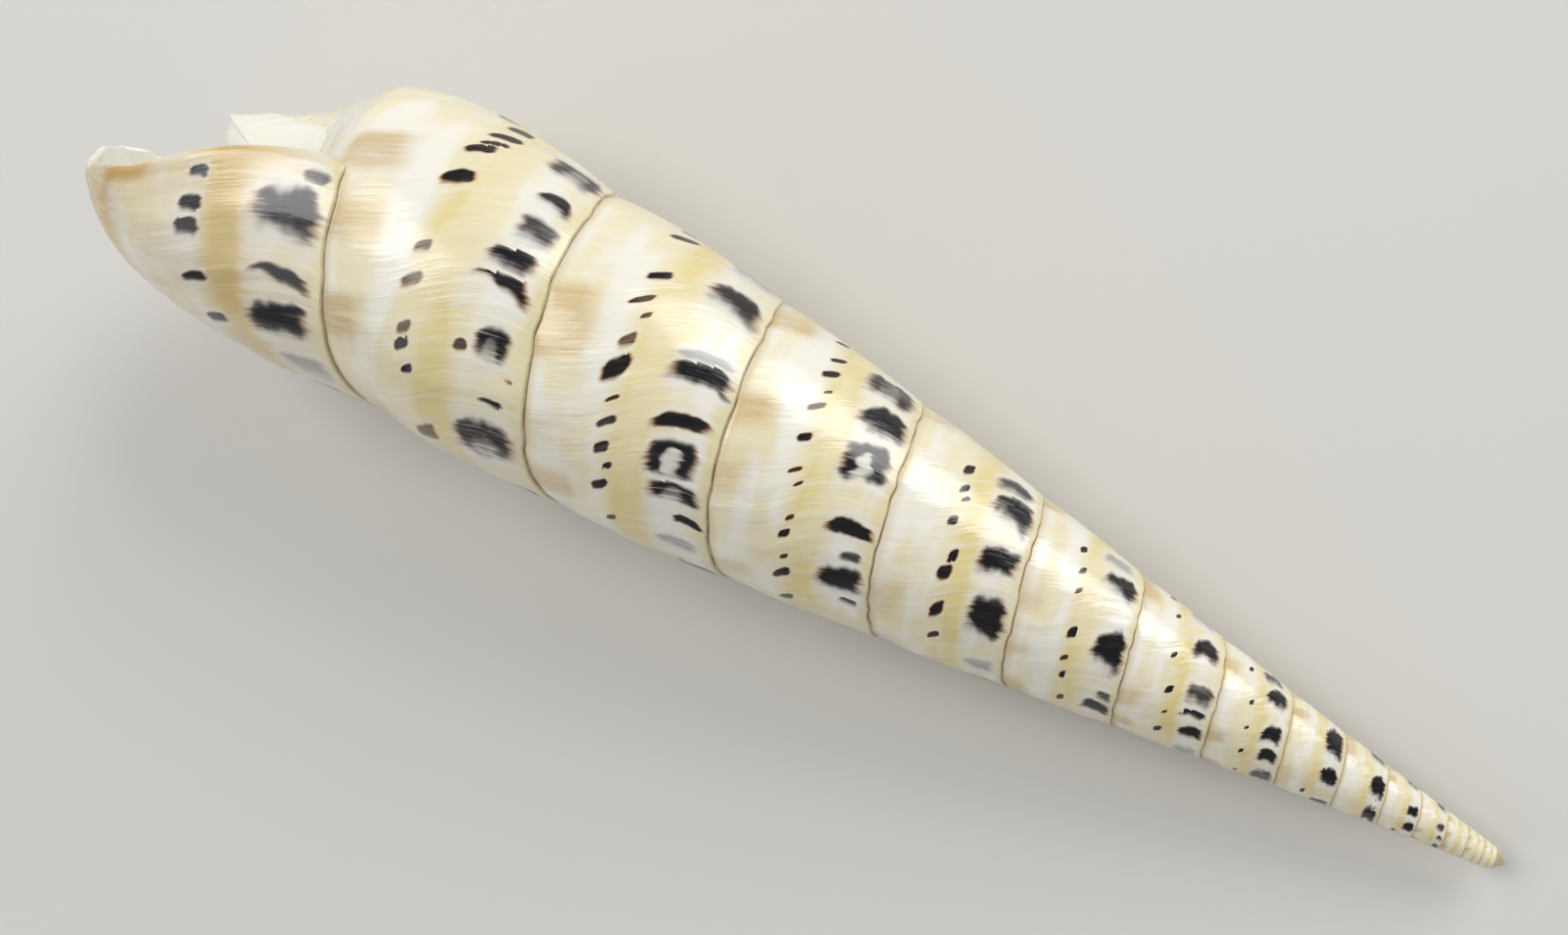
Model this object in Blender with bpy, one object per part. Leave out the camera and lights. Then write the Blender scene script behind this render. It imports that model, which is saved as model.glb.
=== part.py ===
"""Marlinspike auger: one tall coiled shell, hollow from its mouth, lying on its side.

The shell is a curve that winds round a straight axis while it shrinks towards the tip.
Every point is found from two numbers. The first, turn, counts turns back from the outer lip.
The second, across, runs from 0 at a whorl's upper seam to 1 at its lower seam, and on to 2,
which is the free front edge of the last whorl.
"""
import bpy
import bmesh
import numpy as np
from math import cos, radians, sin, pi

for item in list(bpy.data.objects):
    bpy.data.objects.remove(item, do_unlink=True)

MM = 0.001

# Whole shell, in millimetres and degrees
SEAM_AT_LIP = 123.5
LIP_ANGLE = 105.2
TURNS = 14.75
CONE_TIP = 3.76
TIP_DOME = 1.3

# Growth per turn, and the radius as a share of the distance from the cone's tip
GROWTH = (0.20246, 0.00511, -0.00021)
TAPER = (0.13236, 0.09474, -0.0701)
TAPER_LENGTH = 87.43
TIP_SWELL = 0.40
TIP_SWELL_LENGTH = 35.0

# Whorl sides: pairs of turn and value
SIDE_BULGE = ((0, .020), (.27, .032), (.5, .050), (.82, .060), (1.3, .036), (2, .028), (3.5, .018),
              (14, .020))
LIP_FLARE = ((-1, -.8), (0, -.8), (.1, -.3), (.22, 1.3), (.37, 2.2), (.52, 1.5), (.77, .25), (1, 0),
             (14, 0))
BULGE_SKEW = 0.25
SEAM_STEP = 0.0125
SEAM_STEP_WIDTH = 0.03
SEAM_STEP_HEIGHT = 20.0

# Front end of the last whorl: distance from the tip and radius of its free edge, by turn
FRONT_REACH = ((-1, 148), (0, 148), (.1, 150.5), (.2, 156.2), (.25, 159.2), (.31, 161.0), (.38, 161.5),
               (.42, 160.1), (.455, 156), (.5, 150.6), (.535, 148.0), (.575, 147.6), (.62, 146.8),
               (.65, 145.6), (.7, 143.5), (.75, 140.6), (.8, 137.8), (.87, 134.8), (1, 131.5))
FRONT_RADIUS = ((-1, 10), (0, 10), (.2, 8.8), (.25, 6.5), (.31, 4.8), (.38, 5.0), (.43, 5.7), (.465, 6.6),
                (.535, 7.4), (.62, 7.0), (.7, 6.5), (.8, 6.5), (1, 6.2))
FRONT_FULLNESS = ((-1, 1), (.4, 1), (.6, .3), (.72, .4), (.8, .6), (.9, .6), (1, .5), (1.3, .6), (14, .6))
FRONT_SHRINK = 0.22
FRONT_END = 0.96
FALL_START = (1.35, 0.55)
FALL_END = (1.05, -0.43)
HORN = ((-1, 0), (.52, 0), (.57, 2.4), (.615, 5.5), (.65, 3.6), (.7, .9), (.76, 0), (14, 0))
CREST = ((-1, 0), (.665, 0), (.735, 1.1), (.80, 0), (14, 0))
CREST_FROM = 1.6
HORN_TURN = 0.62

# Rounding between the side and the front of the last whorl, and where it fades out
ROUNDING = 0.22
ROUNDING_TURNS = (0.5, 0.8)
ROUNDING_FROM = 0.35
ROUNDING_FADE = 0.5

# Outer lip: how far back the edge lies in turns, across the whorl
LIP_LINE = ((0, 0), (.1, .004), (.25, .018), (.5, .050), (.73, .088), (.89, .110), (1, .120), (1.4, .135),
            (1.79, .160), (2, .190))
LIP_THICKNESS = 0.7
LIP_ROUND = 0.45
LIP_ROUND_FROM = 0.1
WALL = 1.3
WALL_FULL_AT = 0.12
WALL_THIN_FROM = (1.7, 2.1)

# Hollow inside and the pillar in its middle
HOLLOW_TURNS = 2.0
CORNER_START = 0.05
CORNER_GROW = 0.07
CORNER_GROWN_AT = 0.1
PILLAR_RADIUS = 4.6
PILLAR_RISE = (4.0, 3.0)
PILLAR_TIP_ANGLES = (200.0, -90.0)
PILLAR_TIP_RADII = (6.5, 5.0)
PILLAR_TIP_REACH = 147.5
PILLAR_BACK_ANGLE = -180.8
PILLAR_BACK_REACH = 2.0

# Rest pose: the shell lies on a small worn flat
REST_ROLL = 4.8
REST_PITCH = 6.9
WORN_DEPTH = 0.65
CUT_SNAP = 0.03

# Mesh steps
STEPS_PER_TURN = 36
SIDE_STEPS = (0, SEAM_STEP_WIDTH, .33, .66, 1)
FRONT_STEPS = 6
LIP_STEPS = 3


def ease(x, pairs):
    """Smooth curve through pairs of x and value that never overshoots between them.

    Each stretch is a cubic. Its slope at a pair is a weighted mean of the slopes on both sides.
    """
    xs, ys = np.array(pairs, float).T
    gap = np.diff(xs)
    rise = np.diff(ys) / gap
    slope = np.zeros(len(xs))
    same = rise[:-1] * rise[1:] > 0
    before = 2 * gap[1:] + gap[:-1]
    after = gap[1:] + 2 * gap[:-1]
    first = np.where(same, rise[:-1], 1)
    second = np.where(same, rise[1:], 1)
    slope[1:-1] = np.where(same, (before + after) / (before / first + after / second), 0)
    slope[0] = rise[0]
    slope[-1] = rise[-1]
    x = np.clip(x, xs[0], xs[-1])
    i = np.clip(np.searchsorted(xs, x) - 1, 0, len(gap) - 1)
    f = (x - xs[i]) / gap[i]
    start = ys[i] * (1 + 2 * f) * (1 - f) ** 2 + gap[i] * slope[i] * f * (1 - f) ** 2
    end = ys[i + 1] * f * f * (3 - 2 * f) + gap[i] * slope[i + 1] * f * f * (f - 1)
    return start + end


def seam_reach(turn):
    """Distance of the seam from the shell's tip: it shrinks by a near-constant share each turn."""
    a, b, c = GROWTH
    return (SEAM_AT_LIP + CONE_TIP) * np.exp(-a * turn - b * turn ** 2 - c * turn ** 3) - CONE_TIP


def seam_radius(turn):
    """Radius at the seam, a share of the distance that falls slowly towards the tip."""
    reach = seam_reach(turn)
    a, b, c = TAPER
    x = (reach + CONE_TIP) / TAPER_LENGTH
    return (reach + CONE_TIP) * (a + b * x + c * x * x) + TIP_SWELL * np.exp(-reach / TIP_SWELL_LENGTH)


def lower_radius(turn):
    """Radius at a whorl's lower seam, flared on the last turn where nothing covers it."""
    return seam_radius(np.maximum(turn - 1, 0)) + ease(turn, LIP_FLARE)


def whorl_height(turn):
    return seam_reach(turn - 1) - seam_reach(turn)


def front_reach(turn):
    """Distance from the tip to the front edge; a whorl further back has the same front, smaller."""
    scale = whorl_height(turn) / whorl_height(1.0)
    further = seam_reach(turn - 1) + (FRONT_REACH[-1][1] - seam_reach(0.0)) * scale
    return np.where(turn < 1, ease(turn, FRONT_REACH), further)


def front_radius(turn):
    further = FRONT_RADIUS[-1][1] * seam_radius(turn) / seam_radius(1.0)
    return np.where(turn < 1, ease(turn, FRONT_RADIUS), further)


def plain_profile(turn, across, horn):
    """Reach and radius on the whorl's side, across 0 to 1, and on its front, across 1 to 2."""
    top, bottom, high = seam_reach(turn), seam_reach(turn - 1), whorl_height(turn)
    top_radius, bottom_radius = seam_radius(turn), lower_radius(turn)
    side = np.clip(across, 0, 1)
    front = np.clip(across - 1, 0, 1) * FRONT_END
    bulge = ease(turn, SIDE_BULGE) * high * 4 * side * (1 - side) * (1 + BULGE_SKEW * (2 * side - 1))
    step_size = SEAM_STEP * np.minimum(high, SEAM_STEP_HEIGHT)
    step = step_size * np.minimum(side / SEAM_STEP_WIDTH, 1) * (1 - side)
    side_radius = top_radius + (bottom_radius - top_radius) * side + bulge + step
    end = front_reach(turn) + np.where(turn < 1, horn * ease(turn, HORN), 0)
    crest = ease(turn, CREST) * np.clip((across - CREST_FROM) / (2 - CREST_FROM), 0, 1) ** 2
    end_radius = front_radius(turn) + crest
    full = ease(turn, FRONT_FULLNESS)
    start, finish = FALL_START[0] + FALL_START[1] * full, FALL_END[0] + FALL_END[1] * full
    fall = (1 - front ** start) ** finish
    front_side = end_radius + (bottom_radius - end_radius) * (1 - FRONT_SHRINK * front) * fall
    radius = np.where(across > 1, front_side, side_radius)
    reach = np.where(across > 1, bottom + (end - bottom) * front, top + (bottom - top) * side)
    return reach, radius


def profile(turn, across, horn=1.0):
    """The profile with its corner rounded on the last turn: a mean of three places across it.

    The tip closes as a round dome.
    """
    turn, across = np.broadcast_arrays(np.asarray(turn, float), np.asarray(across, float))
    last, first = ROUNDING_TURNS
    open_part = np.clip((first - turn) / (first - last), 0, 1)
    fade_in = np.clip((across - ROUNDING_FROM) / ROUNDING_FADE, 0, 1)
    width = ROUNDING * open_part * fade_in * np.clip((2 - across) / ROUNDING_FADE, 0, 1)
    low = plain_profile(turn, across - width, horn)
    mid = plain_profile(turn, across, horn)
    high = plain_profile(turn, across + width, horn)
    reach = (low[0] + 2 * mid[0] + high[0]) / 4
    radius = (low[1] + 2 * mid[1] + high[1]) / 4
    dome = np.sqrt(1 - (1 - np.clip(reach / TIP_DOME, .05, 1)) ** 2)
    return reach, radius * dome


def skin(turn, across, horn=1.0):
    """Point on the outside: the profile turned about the axis, a full circle for each turn."""
    reach, radius = profile(turn, across, horn)
    angle = radians(LIP_ANGLE) - 2 * pi * np.asarray(turn, float)
    return np.stack([radius * np.cos(angle), radius * np.sin(angle), reach], -1)


def outward(turn, across, horn=1.0):
    """Direction that points straight out of the skin, from two small steps along it."""
    along = skin(turn + 1e-4, across, horn) - skin(turn - 1e-4, across, horn)
    side = np.asarray(across) < 1
    low = np.where(side, across - 1e-3, np.maximum(across - 1e-3, 1))
    high = np.where(side, np.minimum(across + 1e-3, 1), np.minimum(across + 1e-3, 2))
    over = skin(turn, high, horn) - skin(turn, low, horn)
    direction = np.cross(over, along)
    return direction / np.linalg.norm(direction, axis=-1, keepdims=True)


class Surface:
    """Collects points and faces; each call returns the numbers of the points it added."""

    def __init__(self):
        self.points = np.zeros((0, 3))
        self.faces = []

    def add(self, points):
        first = len(self.points)
        grid = np.asarray(points, float)
        self.points = np.concatenate([self.points, grid.reshape(-1, 3)])
        return np.arange(first, len(self.points)).reshape(grid.shape[:-1])

    def quads(self, grid, flip=False):
        """Two triangles for each cell of a grid of point numbers."""
        a, b, c, d = grid[:-1, :-1], grid[1:, :-1], grid[1:, 1:], grid[:-1, 1:]
        cells = [np.stack(corners, -1).reshape(-1, 3) for corners in ((a, c, b), (a, d, c))]
        self.triangles(np.concatenate(cells), flip)

    def fan(self, ring, centre, flip=False):
        """Triangles from each step of a closed ring to one point."""
        self.triangles(np.stack([ring, np.full(len(ring), centre), np.roll(ring, -1)], -1), flip)

    def triangles(self, faces, flip=False):
        distinct = (faces[:, 0] != faces[:, 1]) & (faces[:, 1] != faces[:, 2]) & (faces[:, 0] != faces[:, 2])
        kept = faces[distinct]
        self.faces.append(kept[:, ::-1] if flip else kept)


def outside(surface, across_front):
    """The coiled strip from the lip to the tip, and the front of the last whorl.

    A whorl's lower seam uses the same points as the next whorl's upper seam.
    """
    side = np.array(SIDE_STEPS, float)
    rows = int(round(STEPS_PER_TURN * TURNS))
    turn = np.arange(rows + 1) / STEPS_PER_TURN
    last = np.arange(STEPS_PER_TURN + 1) / STEPS_PER_TURN
    turns = np.repeat(turn[:, None], len(side), 1)
    turns[:len(last)] = last[:, None] + ease(side, LIP_LINE)[None] * (1 - last[:, None])
    points = skin(turns, np.broadcast_to(side, turns.shape))
    strip = np.zeros(turns.shape, int)
    strip[:, 1:] = surface.add(points[:, 1:])
    strip[:-STEPS_PER_TURN, 0] = strip[STEPS_PER_TURN:, -1]
    strip[-STEPS_PER_TURN:, 0] = surface.add(points[-STEPS_PER_TURN:, 0])
    surface.quads(strip)
    front_turns = last[:, None] + (1 - last[:, None]) * ease(across_front, LIP_LINE)[None]
    front = surface.add(skin(front_turns, np.broadcast_to(across_front, front_turns.shape)))
    surface.quads(np.concatenate([strip[:len(last), -1:], front], 1))
    tip_ring = np.concatenate([strip[rows - STEPS_PER_TURN:, 0], strip[rows, 1:-1]])
    all_turns = np.concatenate([turns[:len(last)], front_turns], 1)
    return np.concatenate([strip[:len(last)], front], 1), all_turns, tip_ring


def inside_wall(surface, across, rows):
    """Inner face of the outer wall: the skin moved in by the wall, thin at the lip."""
    turn = np.arange(rows + 1) / STEPS_PER_TURN
    turns = turn[:, None] + ease(across, LIP_LINE)[None] * np.clip(1 - turn[:, None], 0, 1)
    corner = CORNER_START + CORNER_GROW * np.clip(turn / CORNER_GROWN_AT, 0, 1)[:, None]
    place = corner + across[None] * (2 - corner) / 2
    place = np.minimum(np.where(across[None] >= 1, np.maximum(place, across[None]), place), 2)
    thin_from, thin_to = WALL_THIN_FROM
    full_across = np.clip((thin_to - across[None]) / (thin_to - thin_from), 0, 1)
    grown = np.clip(turn / WALL_FULL_AT, 0, 1)[:, None] * full_across
    scale = (seam_radius(turn) / seam_radius(0.0))[:, None]
    depth = (LIP_THICKNESS + (WALL - LIP_THICKNESS) * grown) * scale
    points = skin(turns, place, 0.0) - outward(turns, place, 0.0) * depth[..., None]
    points[:, 0] = skin(1 + turn, 1 + corner[:, 0])
    grid = surface.add(points)
    surface.quads(grid, flip=True)
    return grid, corner[:, 0]


def lip(surface, outer, inner, turns, across):
    """Rounded edge from the outside to the inside, thin at the corner by the seam."""
    start = surface.points[outer[0]]
    end = surface.points[inner[0]]
    along = np.gradient(start, axis=0)
    forward = np.cross(outward(turns, across), along)
    forward /= np.linalg.norm(forward, axis=1, keepdims=True)
    behind = surface.points[outer[1]]
    forward *= np.where(((start - behind) * forward).sum(1) < 0, -1, 1)[:, None]
    proud = LIP_THICKNESS * LIP_ROUND * np.clip(across / LIP_ROUND_FROM, 0, 1)[:, None]
    rows = [outer[0]]
    for step in range(1, LIP_STEPS):
        f = step / LIP_STEPS
        blend = (1 - cos(pi * f)) / 2
        between = start * (1 - blend) + end * blend + forward * proud * sin(pi * f)
        rows.append(np.append(outer[0][0], surface.add(between[1:])))
    rows.append(inner[0])
    grid = np.array(rows)
    surface.quads(grid, flip=True)
    return grid


def bow(a, b, c, d, s):
    """Cubic curve from a to d, pulled towards b and c."""
    s = s[:, None]
    return a * (1 - s) ** 3 + 3 * b * s * (1 - s) ** 2 + 3 * c * s * s * (1 - s) + d * s ** 3


def pillar_path(turn, start, end, horn_turn, s):
    """Curve over the middle pillar, from the whorl behind it to the horn or the outer wall."""
    scale = seam_radius(turn) / seam_radius(0.0)
    angle = radians(LIP_ANGLE) - 2 * pi * turn
    radius = PILLAR_RADIUS * scale
    if turn <= horn_turn:
        share = (1 - turn / horn_turn, turn / horn_turn)
        middle_angle = radians(np.dot(share, PILLAR_TIP_ANGLES))
        middle_radius = np.dot(share, PILLAR_TIP_RADII)
        middle_reach = PILLAR_TIP_REACH
        rise = np.dot(share, PILLAR_RISE)
    else:
        middle_angle = angle + radians(PILLAR_BACK_ANGLE)
        middle_radius = radius
        middle_reach = end[2] - PILLAR_BACK_REACH * scale
        rise = PILLAR_RISE[1] * scale
    near = np.array([radius * cos(angle), radius * sin(angle), start[2] + rise])
    middle = np.array([middle_radius * cos(middle_angle), middle_radius * sin(middle_angle), middle_reach])
    return bow(start, near, middle, end, s)


def middle(surface, outer, inner, lip_grid, corner, across_front, horn_row):
    """Front of the whorl behind, and the pillar, from the mouth's edge down into the hollow."""
    rows = len(inner) - 1
    turn = np.arange(rows + 1) / STEPS_PER_TURN
    reach = np.concatenate([[0], across_front - 1])
    place = 1 + corner[:, None] + (1 - corner[:, None]) * reach[None]
    wall = skin(1 + np.repeat(turn[:, None], len(reach), 1), place)
    across_count = STEPS_PER_TURN - horn_row
    s = np.linspace(0, 1, across_count + 1)
    grid = np.zeros((rows + 1, len(reach) + across_count), int)
    grid[0] = np.concatenate([outer[-1, -len(reach):], outer[horn_row:-1, -1][::-1]])
    grid[1:, 0] = inner[1:, 0]
    grid[1:, 1:len(reach)] = surface.add(wall[1:, 1:])
    horn_turn = horn_row / STEPS_PER_TURN
    edge = surface.points[grid[0, len(reach) - 1:]]
    shift = edge - pillar_path(0.0, edge[0], edge[-1], horn_turn, s)
    for row in range(1, rows + 1):
        at_lip = int(round(row * LIP_STEPS / horn_row))
        last = lip_grid[at_lip, -1] if row <= horn_row else inner[row, -1]
        path = pillar_path(turn[row], wall[row, -1], surface.points[last], horn_turn, s)
        near = max(0, 1 - turn[row] / WALL_FULL_AT)
        path += shift * near * near * (3 - 2 * near)
        grid[row, len(reach):-1] = surface.add(path[1:-1])
        grid[row, -1] = last
    surface.quads(grid)
    return grid


def shell_surface():
    """The whole closed shell, in millimetres, tip at zero and mouth up."""
    surface = Surface()
    across_front = 1 + np.sin(np.linspace(0, 1, FRONT_STEPS + 1)[1:] * pi / 2)
    across = np.concatenate([SIDE_STEPS, across_front])
    rows = int(round(HOLLOW_TURNS * STEPS_PER_TURN))
    lip_back = LIP_LINE[-1][1]
    horn_row = int(round((HORN_TURN - lip_back) / (1 - lip_back) * STEPS_PER_TURN))
    outer, turns, tip_ring = outside(surface, across_front)
    tip_centre = surface.add([[0, 0, 0]])[0]
    surface.fan(tip_ring, tip_centre, flip=True)
    inner, corner = inside_wall(surface, across, rows)
    rim_outer = np.stack([np.concatenate([outer[0], outer[1:horn_row + 1, -1]]),
                          np.concatenate([outer[1], outer[1:horn_row + 1, -2]])])
    rim_inner = np.concatenate([inner[0], inner[1:horn_row + 1, -1]])[None]
    rim_turns = np.concatenate([turns[0], turns[1:horn_row + 1, -1]])
    rim_across = np.concatenate([across, np.full(horn_row, 2.0)])
    edge = lip(surface, rim_outer, rim_inner, rim_turns, rim_across)
    grid = middle(surface, outer, inner, edge, corner, across_front, horn_row)
    surface.triangles(np.array([[outer[0, 0], inner[1, 0], inner[0, 0]]]))
    end_ring = np.concatenate([inner[-1], grid[-1][::-1][1:-1]])
    end_centre = surface.add(surface.points[end_ring].mean(0)[None])[0]
    surface.fan(end_ring, end_centre)
    return surface


def lay_down(points):
    """Turn the shell onto its side, mouth end towards -X, with its lowest spot just below Z = 0."""
    roll = radians(REST_ROLL)
    x = points[:, 0] * cos(roll) - points[:, 1] * sin(roll)
    up = points[:, 0] * sin(roll) + points[:, 1] * cos(roll)
    pitch = radians(REST_PITCH)
    length = -points[:, 2] * cos(pitch) + up * sin(pitch)
    high = points[:, 2] * sin(pitch) + up * cos(pitch)
    laid = np.stack([length, -x, high], -1)
    laid[:, 2] -= laid[:, 2].min() + WORN_DEPTH
    laid[:, 0] -= (laid[:, 0].min() + laid[:, 0].max()) / 2
    laid[:, 1] -= (laid[:, 1].min() + laid[:, 1].max()) / 2
    return laid


def wear_flat(shape):
    """Cut the lowest spot off at Z = 0, close each cut with a flat face and wear its edge level."""
    parts = shape.verts[:] + shape.edges[:] + shape.faces[:]
    cut = bmesh.ops.bisect_plane(shape, geom=parts, dist=CUT_SNAP * MM, plane_co=(0, 0, 0),
                                 plane_no=(0, 0, 1), clear_inner=True)
    for item in cut["geom_cut"]:
        if isinstance(item, bmesh.types.BMVert):
            item.co.z = 0.0
    rims = [item for item in cut["geom_cut"] if isinstance(item, bmesh.types.BMEdge)]
    bmesh.ops.holes_fill(shape, edges=rims, sides=0)
    bmesh.ops.triangulate(shape, faces=shape.faces[:])


def shell_material():
    material = bpy.data.materials.new("glossy_ivory_shell")
    material.use_nodes = True
    shader = material.node_tree.nodes["Principled BSDF"]
    shader.inputs["Base Color"].default_value = (0.78, 0.70, 0.55, 1.0)
    shader.inputs["Roughness"].default_value = 0.25
    shader.inputs["Metallic"].default_value = 0.0
    return material


def make_shell():
    surface = shell_surface()
    points = lay_down(surface.points) * MM
    faces = np.concatenate(surface.faces)
    mesh = bpy.data.meshes.new("shell")
    mesh.from_pydata(points.tolist(), [], faces.tolist())
    shape = bmesh.new()
    shape.from_mesh(mesh)
    wear_flat(shape)
    bmesh.ops.recalc_face_normals(shape, faces=shape.faces)
    shape.to_mesh(mesh)
    shape.free()
    mesh.shade_smooth()
    mesh.set_sharp_from_angle(angle=radians(40))
    mesh.materials.append(shell_material())
    shell = bpy.data.objects.new("shell", mesh)
    bpy.context.scene.collection.objects.link(shell)
    return shell


make_shell()
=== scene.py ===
"""Marlinspike auger: the looks of one tall, glossy, blotched sea shell lying on its side.

Every point of the shell is found from two numbers. The first, turn, counts turns back from the
outer lip. The second, across, runs from 0 at a whorl's upper seam to 1 at its lower seam, and on
to 2, which is the free front edge of the last whorl. Lengths are millimetres until a mesh is made.
"""

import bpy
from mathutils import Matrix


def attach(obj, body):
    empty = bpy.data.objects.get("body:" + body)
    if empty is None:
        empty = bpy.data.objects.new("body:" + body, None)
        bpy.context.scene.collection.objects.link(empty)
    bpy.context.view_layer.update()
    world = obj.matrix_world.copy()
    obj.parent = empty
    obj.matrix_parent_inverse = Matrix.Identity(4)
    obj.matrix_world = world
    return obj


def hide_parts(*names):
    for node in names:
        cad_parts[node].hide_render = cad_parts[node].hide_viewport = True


bl_info = {
    "name": "Marlinspike Auger",
    "version": (1, 0, 0),
    "blender": (4, 5, 0),
    "location": "View3D > Sidebar > Auger",
    "description": "A glossy ivory auger shell with rows of slate blotches, on a plain pale stage",
    "category": "Object",
}

from math import cos, pi, radians, sin

import bpy
import numpy as np
from mathutils import Matrix, Vector

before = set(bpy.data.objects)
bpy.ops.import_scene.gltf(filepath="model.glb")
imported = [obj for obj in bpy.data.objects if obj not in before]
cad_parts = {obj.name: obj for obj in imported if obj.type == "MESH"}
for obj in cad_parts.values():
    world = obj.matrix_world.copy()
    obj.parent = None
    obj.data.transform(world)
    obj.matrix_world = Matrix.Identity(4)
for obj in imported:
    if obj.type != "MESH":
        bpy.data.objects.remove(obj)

MM = 0.001

# Whole shell, in millimetres and degrees
SEAM_AT_LIP = 123.5
LIP_ANGLE = 105.2
TURNS = 14.75
CONE_TIP = 3.76
TIP_DOME = 1.3

# Growth per turn, and the radius as a share of the distance from the cone's tip
GROWTH = (0.20246, 0.00511, -0.00021)
TAPER = (0.13236, 0.09474, -0.0701)
TAPER_LENGTH = 87.43
TIP_SWELL = 0.40
TIP_SWELL_LENGTH = 35.0

# Whorl sides: pairs of turn and value
SIDE_BULGE = ((0, .020), (.27, .032), (.5, .050), (.82, .060), (1.3, .036), (2, .028), (3.5, .018),
              (14, .020))
LIP_FLARE = ((-1, -.8), (0, -.8), (.1, -.3), (.22, 1.3), (.37, 2.2), (.52, 1.5), (.77, .25), (1, 0),
             (14, 0))
BULGE_SKEW = 0.25
SEAM_STEP = 0.0125
SEAM_STEP_WIDTH = 0.006
SEAM_STEP_HEIGHT = 20.0
# The seam's lines are as wide as they can be on whorls from this height on, and weaken on lower ones
SEAM_FULL_HEIGHT = 11.0
SEAM_LEAST_SHARE = 0.3

# Front end of the last whorl: distance from the tip and radius of its free edge, by turn
FRONT_REACH = ((-1, 148), (0, 148), (.1, 150.5), (.2, 156.2), (.25, 159.2), (.31, 161.0), (.38, 161.5),
               (.41, 160.6), (.44, 158.9), (.47, 155.6), (.5, 150.9), (.535, 148.0), (.575, 147.6),
               (.62, 146.8), (.65, 145.6), (.7, 143.5), (.75, 140.6), (.8, 137.8), (.87, 134.8), (1, 131.5))
FRONT_RADIUS = ((-1, 10), (0, 10), (.2, 8.8), (.25, 6.5), (.31, 4.8), (.38, 5.0), (.42, 5.2), (.44, 6.4),
                (.465, 7.4), (.5, 7.7), (.535, 7.5), (.62, 7.0), (.7, 6.5), (.8, 6.5), (1, 6.2))
FRONT_FULLNESS = ((-1, 1), (.4, 1), (.6, .3), (.72, .4), (.8, .6), (.9, .6), (1, .5), (1.3, .6), (14, .6))
FRONT_SHRINK = 0.22
FRONT_END = 0.96
FALL_START = (1.35, 0.55)
FALL_END = (1.05, -0.43)
HORN = ((-1, 0), (.53, 0), (.575, 1.8), (.6, 3.6), (.62, 6.4), (.635, 5.0), (.65, 3.6), (.67, 3.0),
        (.7, 2.2), (.74, 1.1), (.8, .2), (.84, 0), (14, 0))
CREST = ((-1, 0), (.6, 0), (.645, -.8), (.66, -1.2), (.68, -.3), (.7, .5), (.72, .1), (.76, -.4), (.8, -.3),
         (.84, 0), (14, 0))
CREST_FROM = 1.6
HORN_TURN = 0.62

# Rounding between the side and the front of the last whorl, and where it fades out
ROUNDING = 0.22
ROUNDING_TURNS = (0.5, 0.8)
ROUNDING_FROM = 0.35
ROUNDING_FADE = 0.5

# Outer lip: how far back the edge lies in turns, across the whorl
LIP_LINE = ((0, 0), (.1, .004), (.25, .018), (.5, .050), (.73, .088), (.89, .110), (1, .120), (1.4, .135),
            (1.79, .160), (2, .190))
LIP_THICKNESS = 0.7
LIP_ROUND = 0.45
LIP_ROUND_FROM = 0.1
WALL = 1.3
WALL_FULL_AT = 0.12
WALL_THIN_FROM = (1.7, 2.1)

# Hollow inside and the pillar in its middle
HOLLOW_TURNS = 2.0
CORNER_START = 0.05
CORNER_GROW = 0.07
CORNER_GROWN_AT = 0.1
PILLAR_RADIUS = 4.6
PILLAR_RISE = (4.0, 3.0)
PILLAR_TIP_ANGLES = (200.0, -90.0)
PILLAR_TIP_RADII = (6.5, 5.0)
PILLAR_TIP_REACH = 147.5
PILLAR_BACK_ANGLE = -180.8
PILLAR_BACK_REACH = 2.0

# Rest pose: the shell lies on a small worn flat
REST_ROLL = 4.8
REST_PITCH = 6.9
WORN_DEPTH = 0.65

# Growth lines: how far back a line lies in turns, across the whorl, away from the lip
GROWTH_LINE = ((0, 0), (.1, .001), (.2, .005), (.3, .013), (.4, .0245), (.5, .039), (.6, .0565),
               (.7, .070), (.85, .0845), (1, .0975), (2, .160))
LIP_SHAPE_UNTIL = 0.5
LINES_PER_TURN = 60.0

# Cells that the marks own: how a distance across compares with one along, and how far they reach
ACROSS_IN_TURNS = 0.2
CELL_MARGIN = 0.45
CELL_LEAST = 0.003
RIVAL_WITHIN = 0.09
GAP_FADE = 0.0035
MARK_SPREAD = 1.22
MARK_LENGTHEN = 0.008

# Finding a spot of the photo on the shell: the grid to start from, then how far Newton steps may go,
# and the most pixels that the result may miss by
SEARCH_TURNS = (-.30, .36)
SEARCH_STEP = 0.004
SEARCH_ROWS = 41
NEWTON_STEPS = 8
NEWTON_REACH = 0.05
MOST_MISS = 3.0

# Mesh steps, and the small steps that find a slope
SMALL_TURN = 1e-4
SMALL_ACROSS = 1e-3
STEPS_PER_TURN = 180
SIDE_STEPS = (0, .003, .006, .011, .02, .035, .06, .10, .14, .18, .22, .26, .30, .34, .38, .42, .46, .50,
              .54, .58, .62, .66, .71, .77, .84, .91, .96, .985, 1)
FRONT_STEPS = 18
LIP_STEPS = 6
COARSE_FROM_TURN = 6.0
INSIDE_COARSE_FROM_TURN = 0.4

# Camera, found from the seams' and the outline's perspective: the direction of the shell's axis
# as the camera sees it (x right, y down, z forward), and where the cone's tip lies from it
AXIS_YAW = -2.6299
AXIS_PITCH = 0.19856
TIP_FROM_CAMERA = (67.51293, 37.28437, 131.148)
FOCAL_PIXELS = 1506.0
PHOTO_WIDTH = 1600
PHOTO_HEIGHT = 954
AXIS_IN_PHOTO = (.8935, .4490)
SENSOR_WIDTH = 36.0

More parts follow.
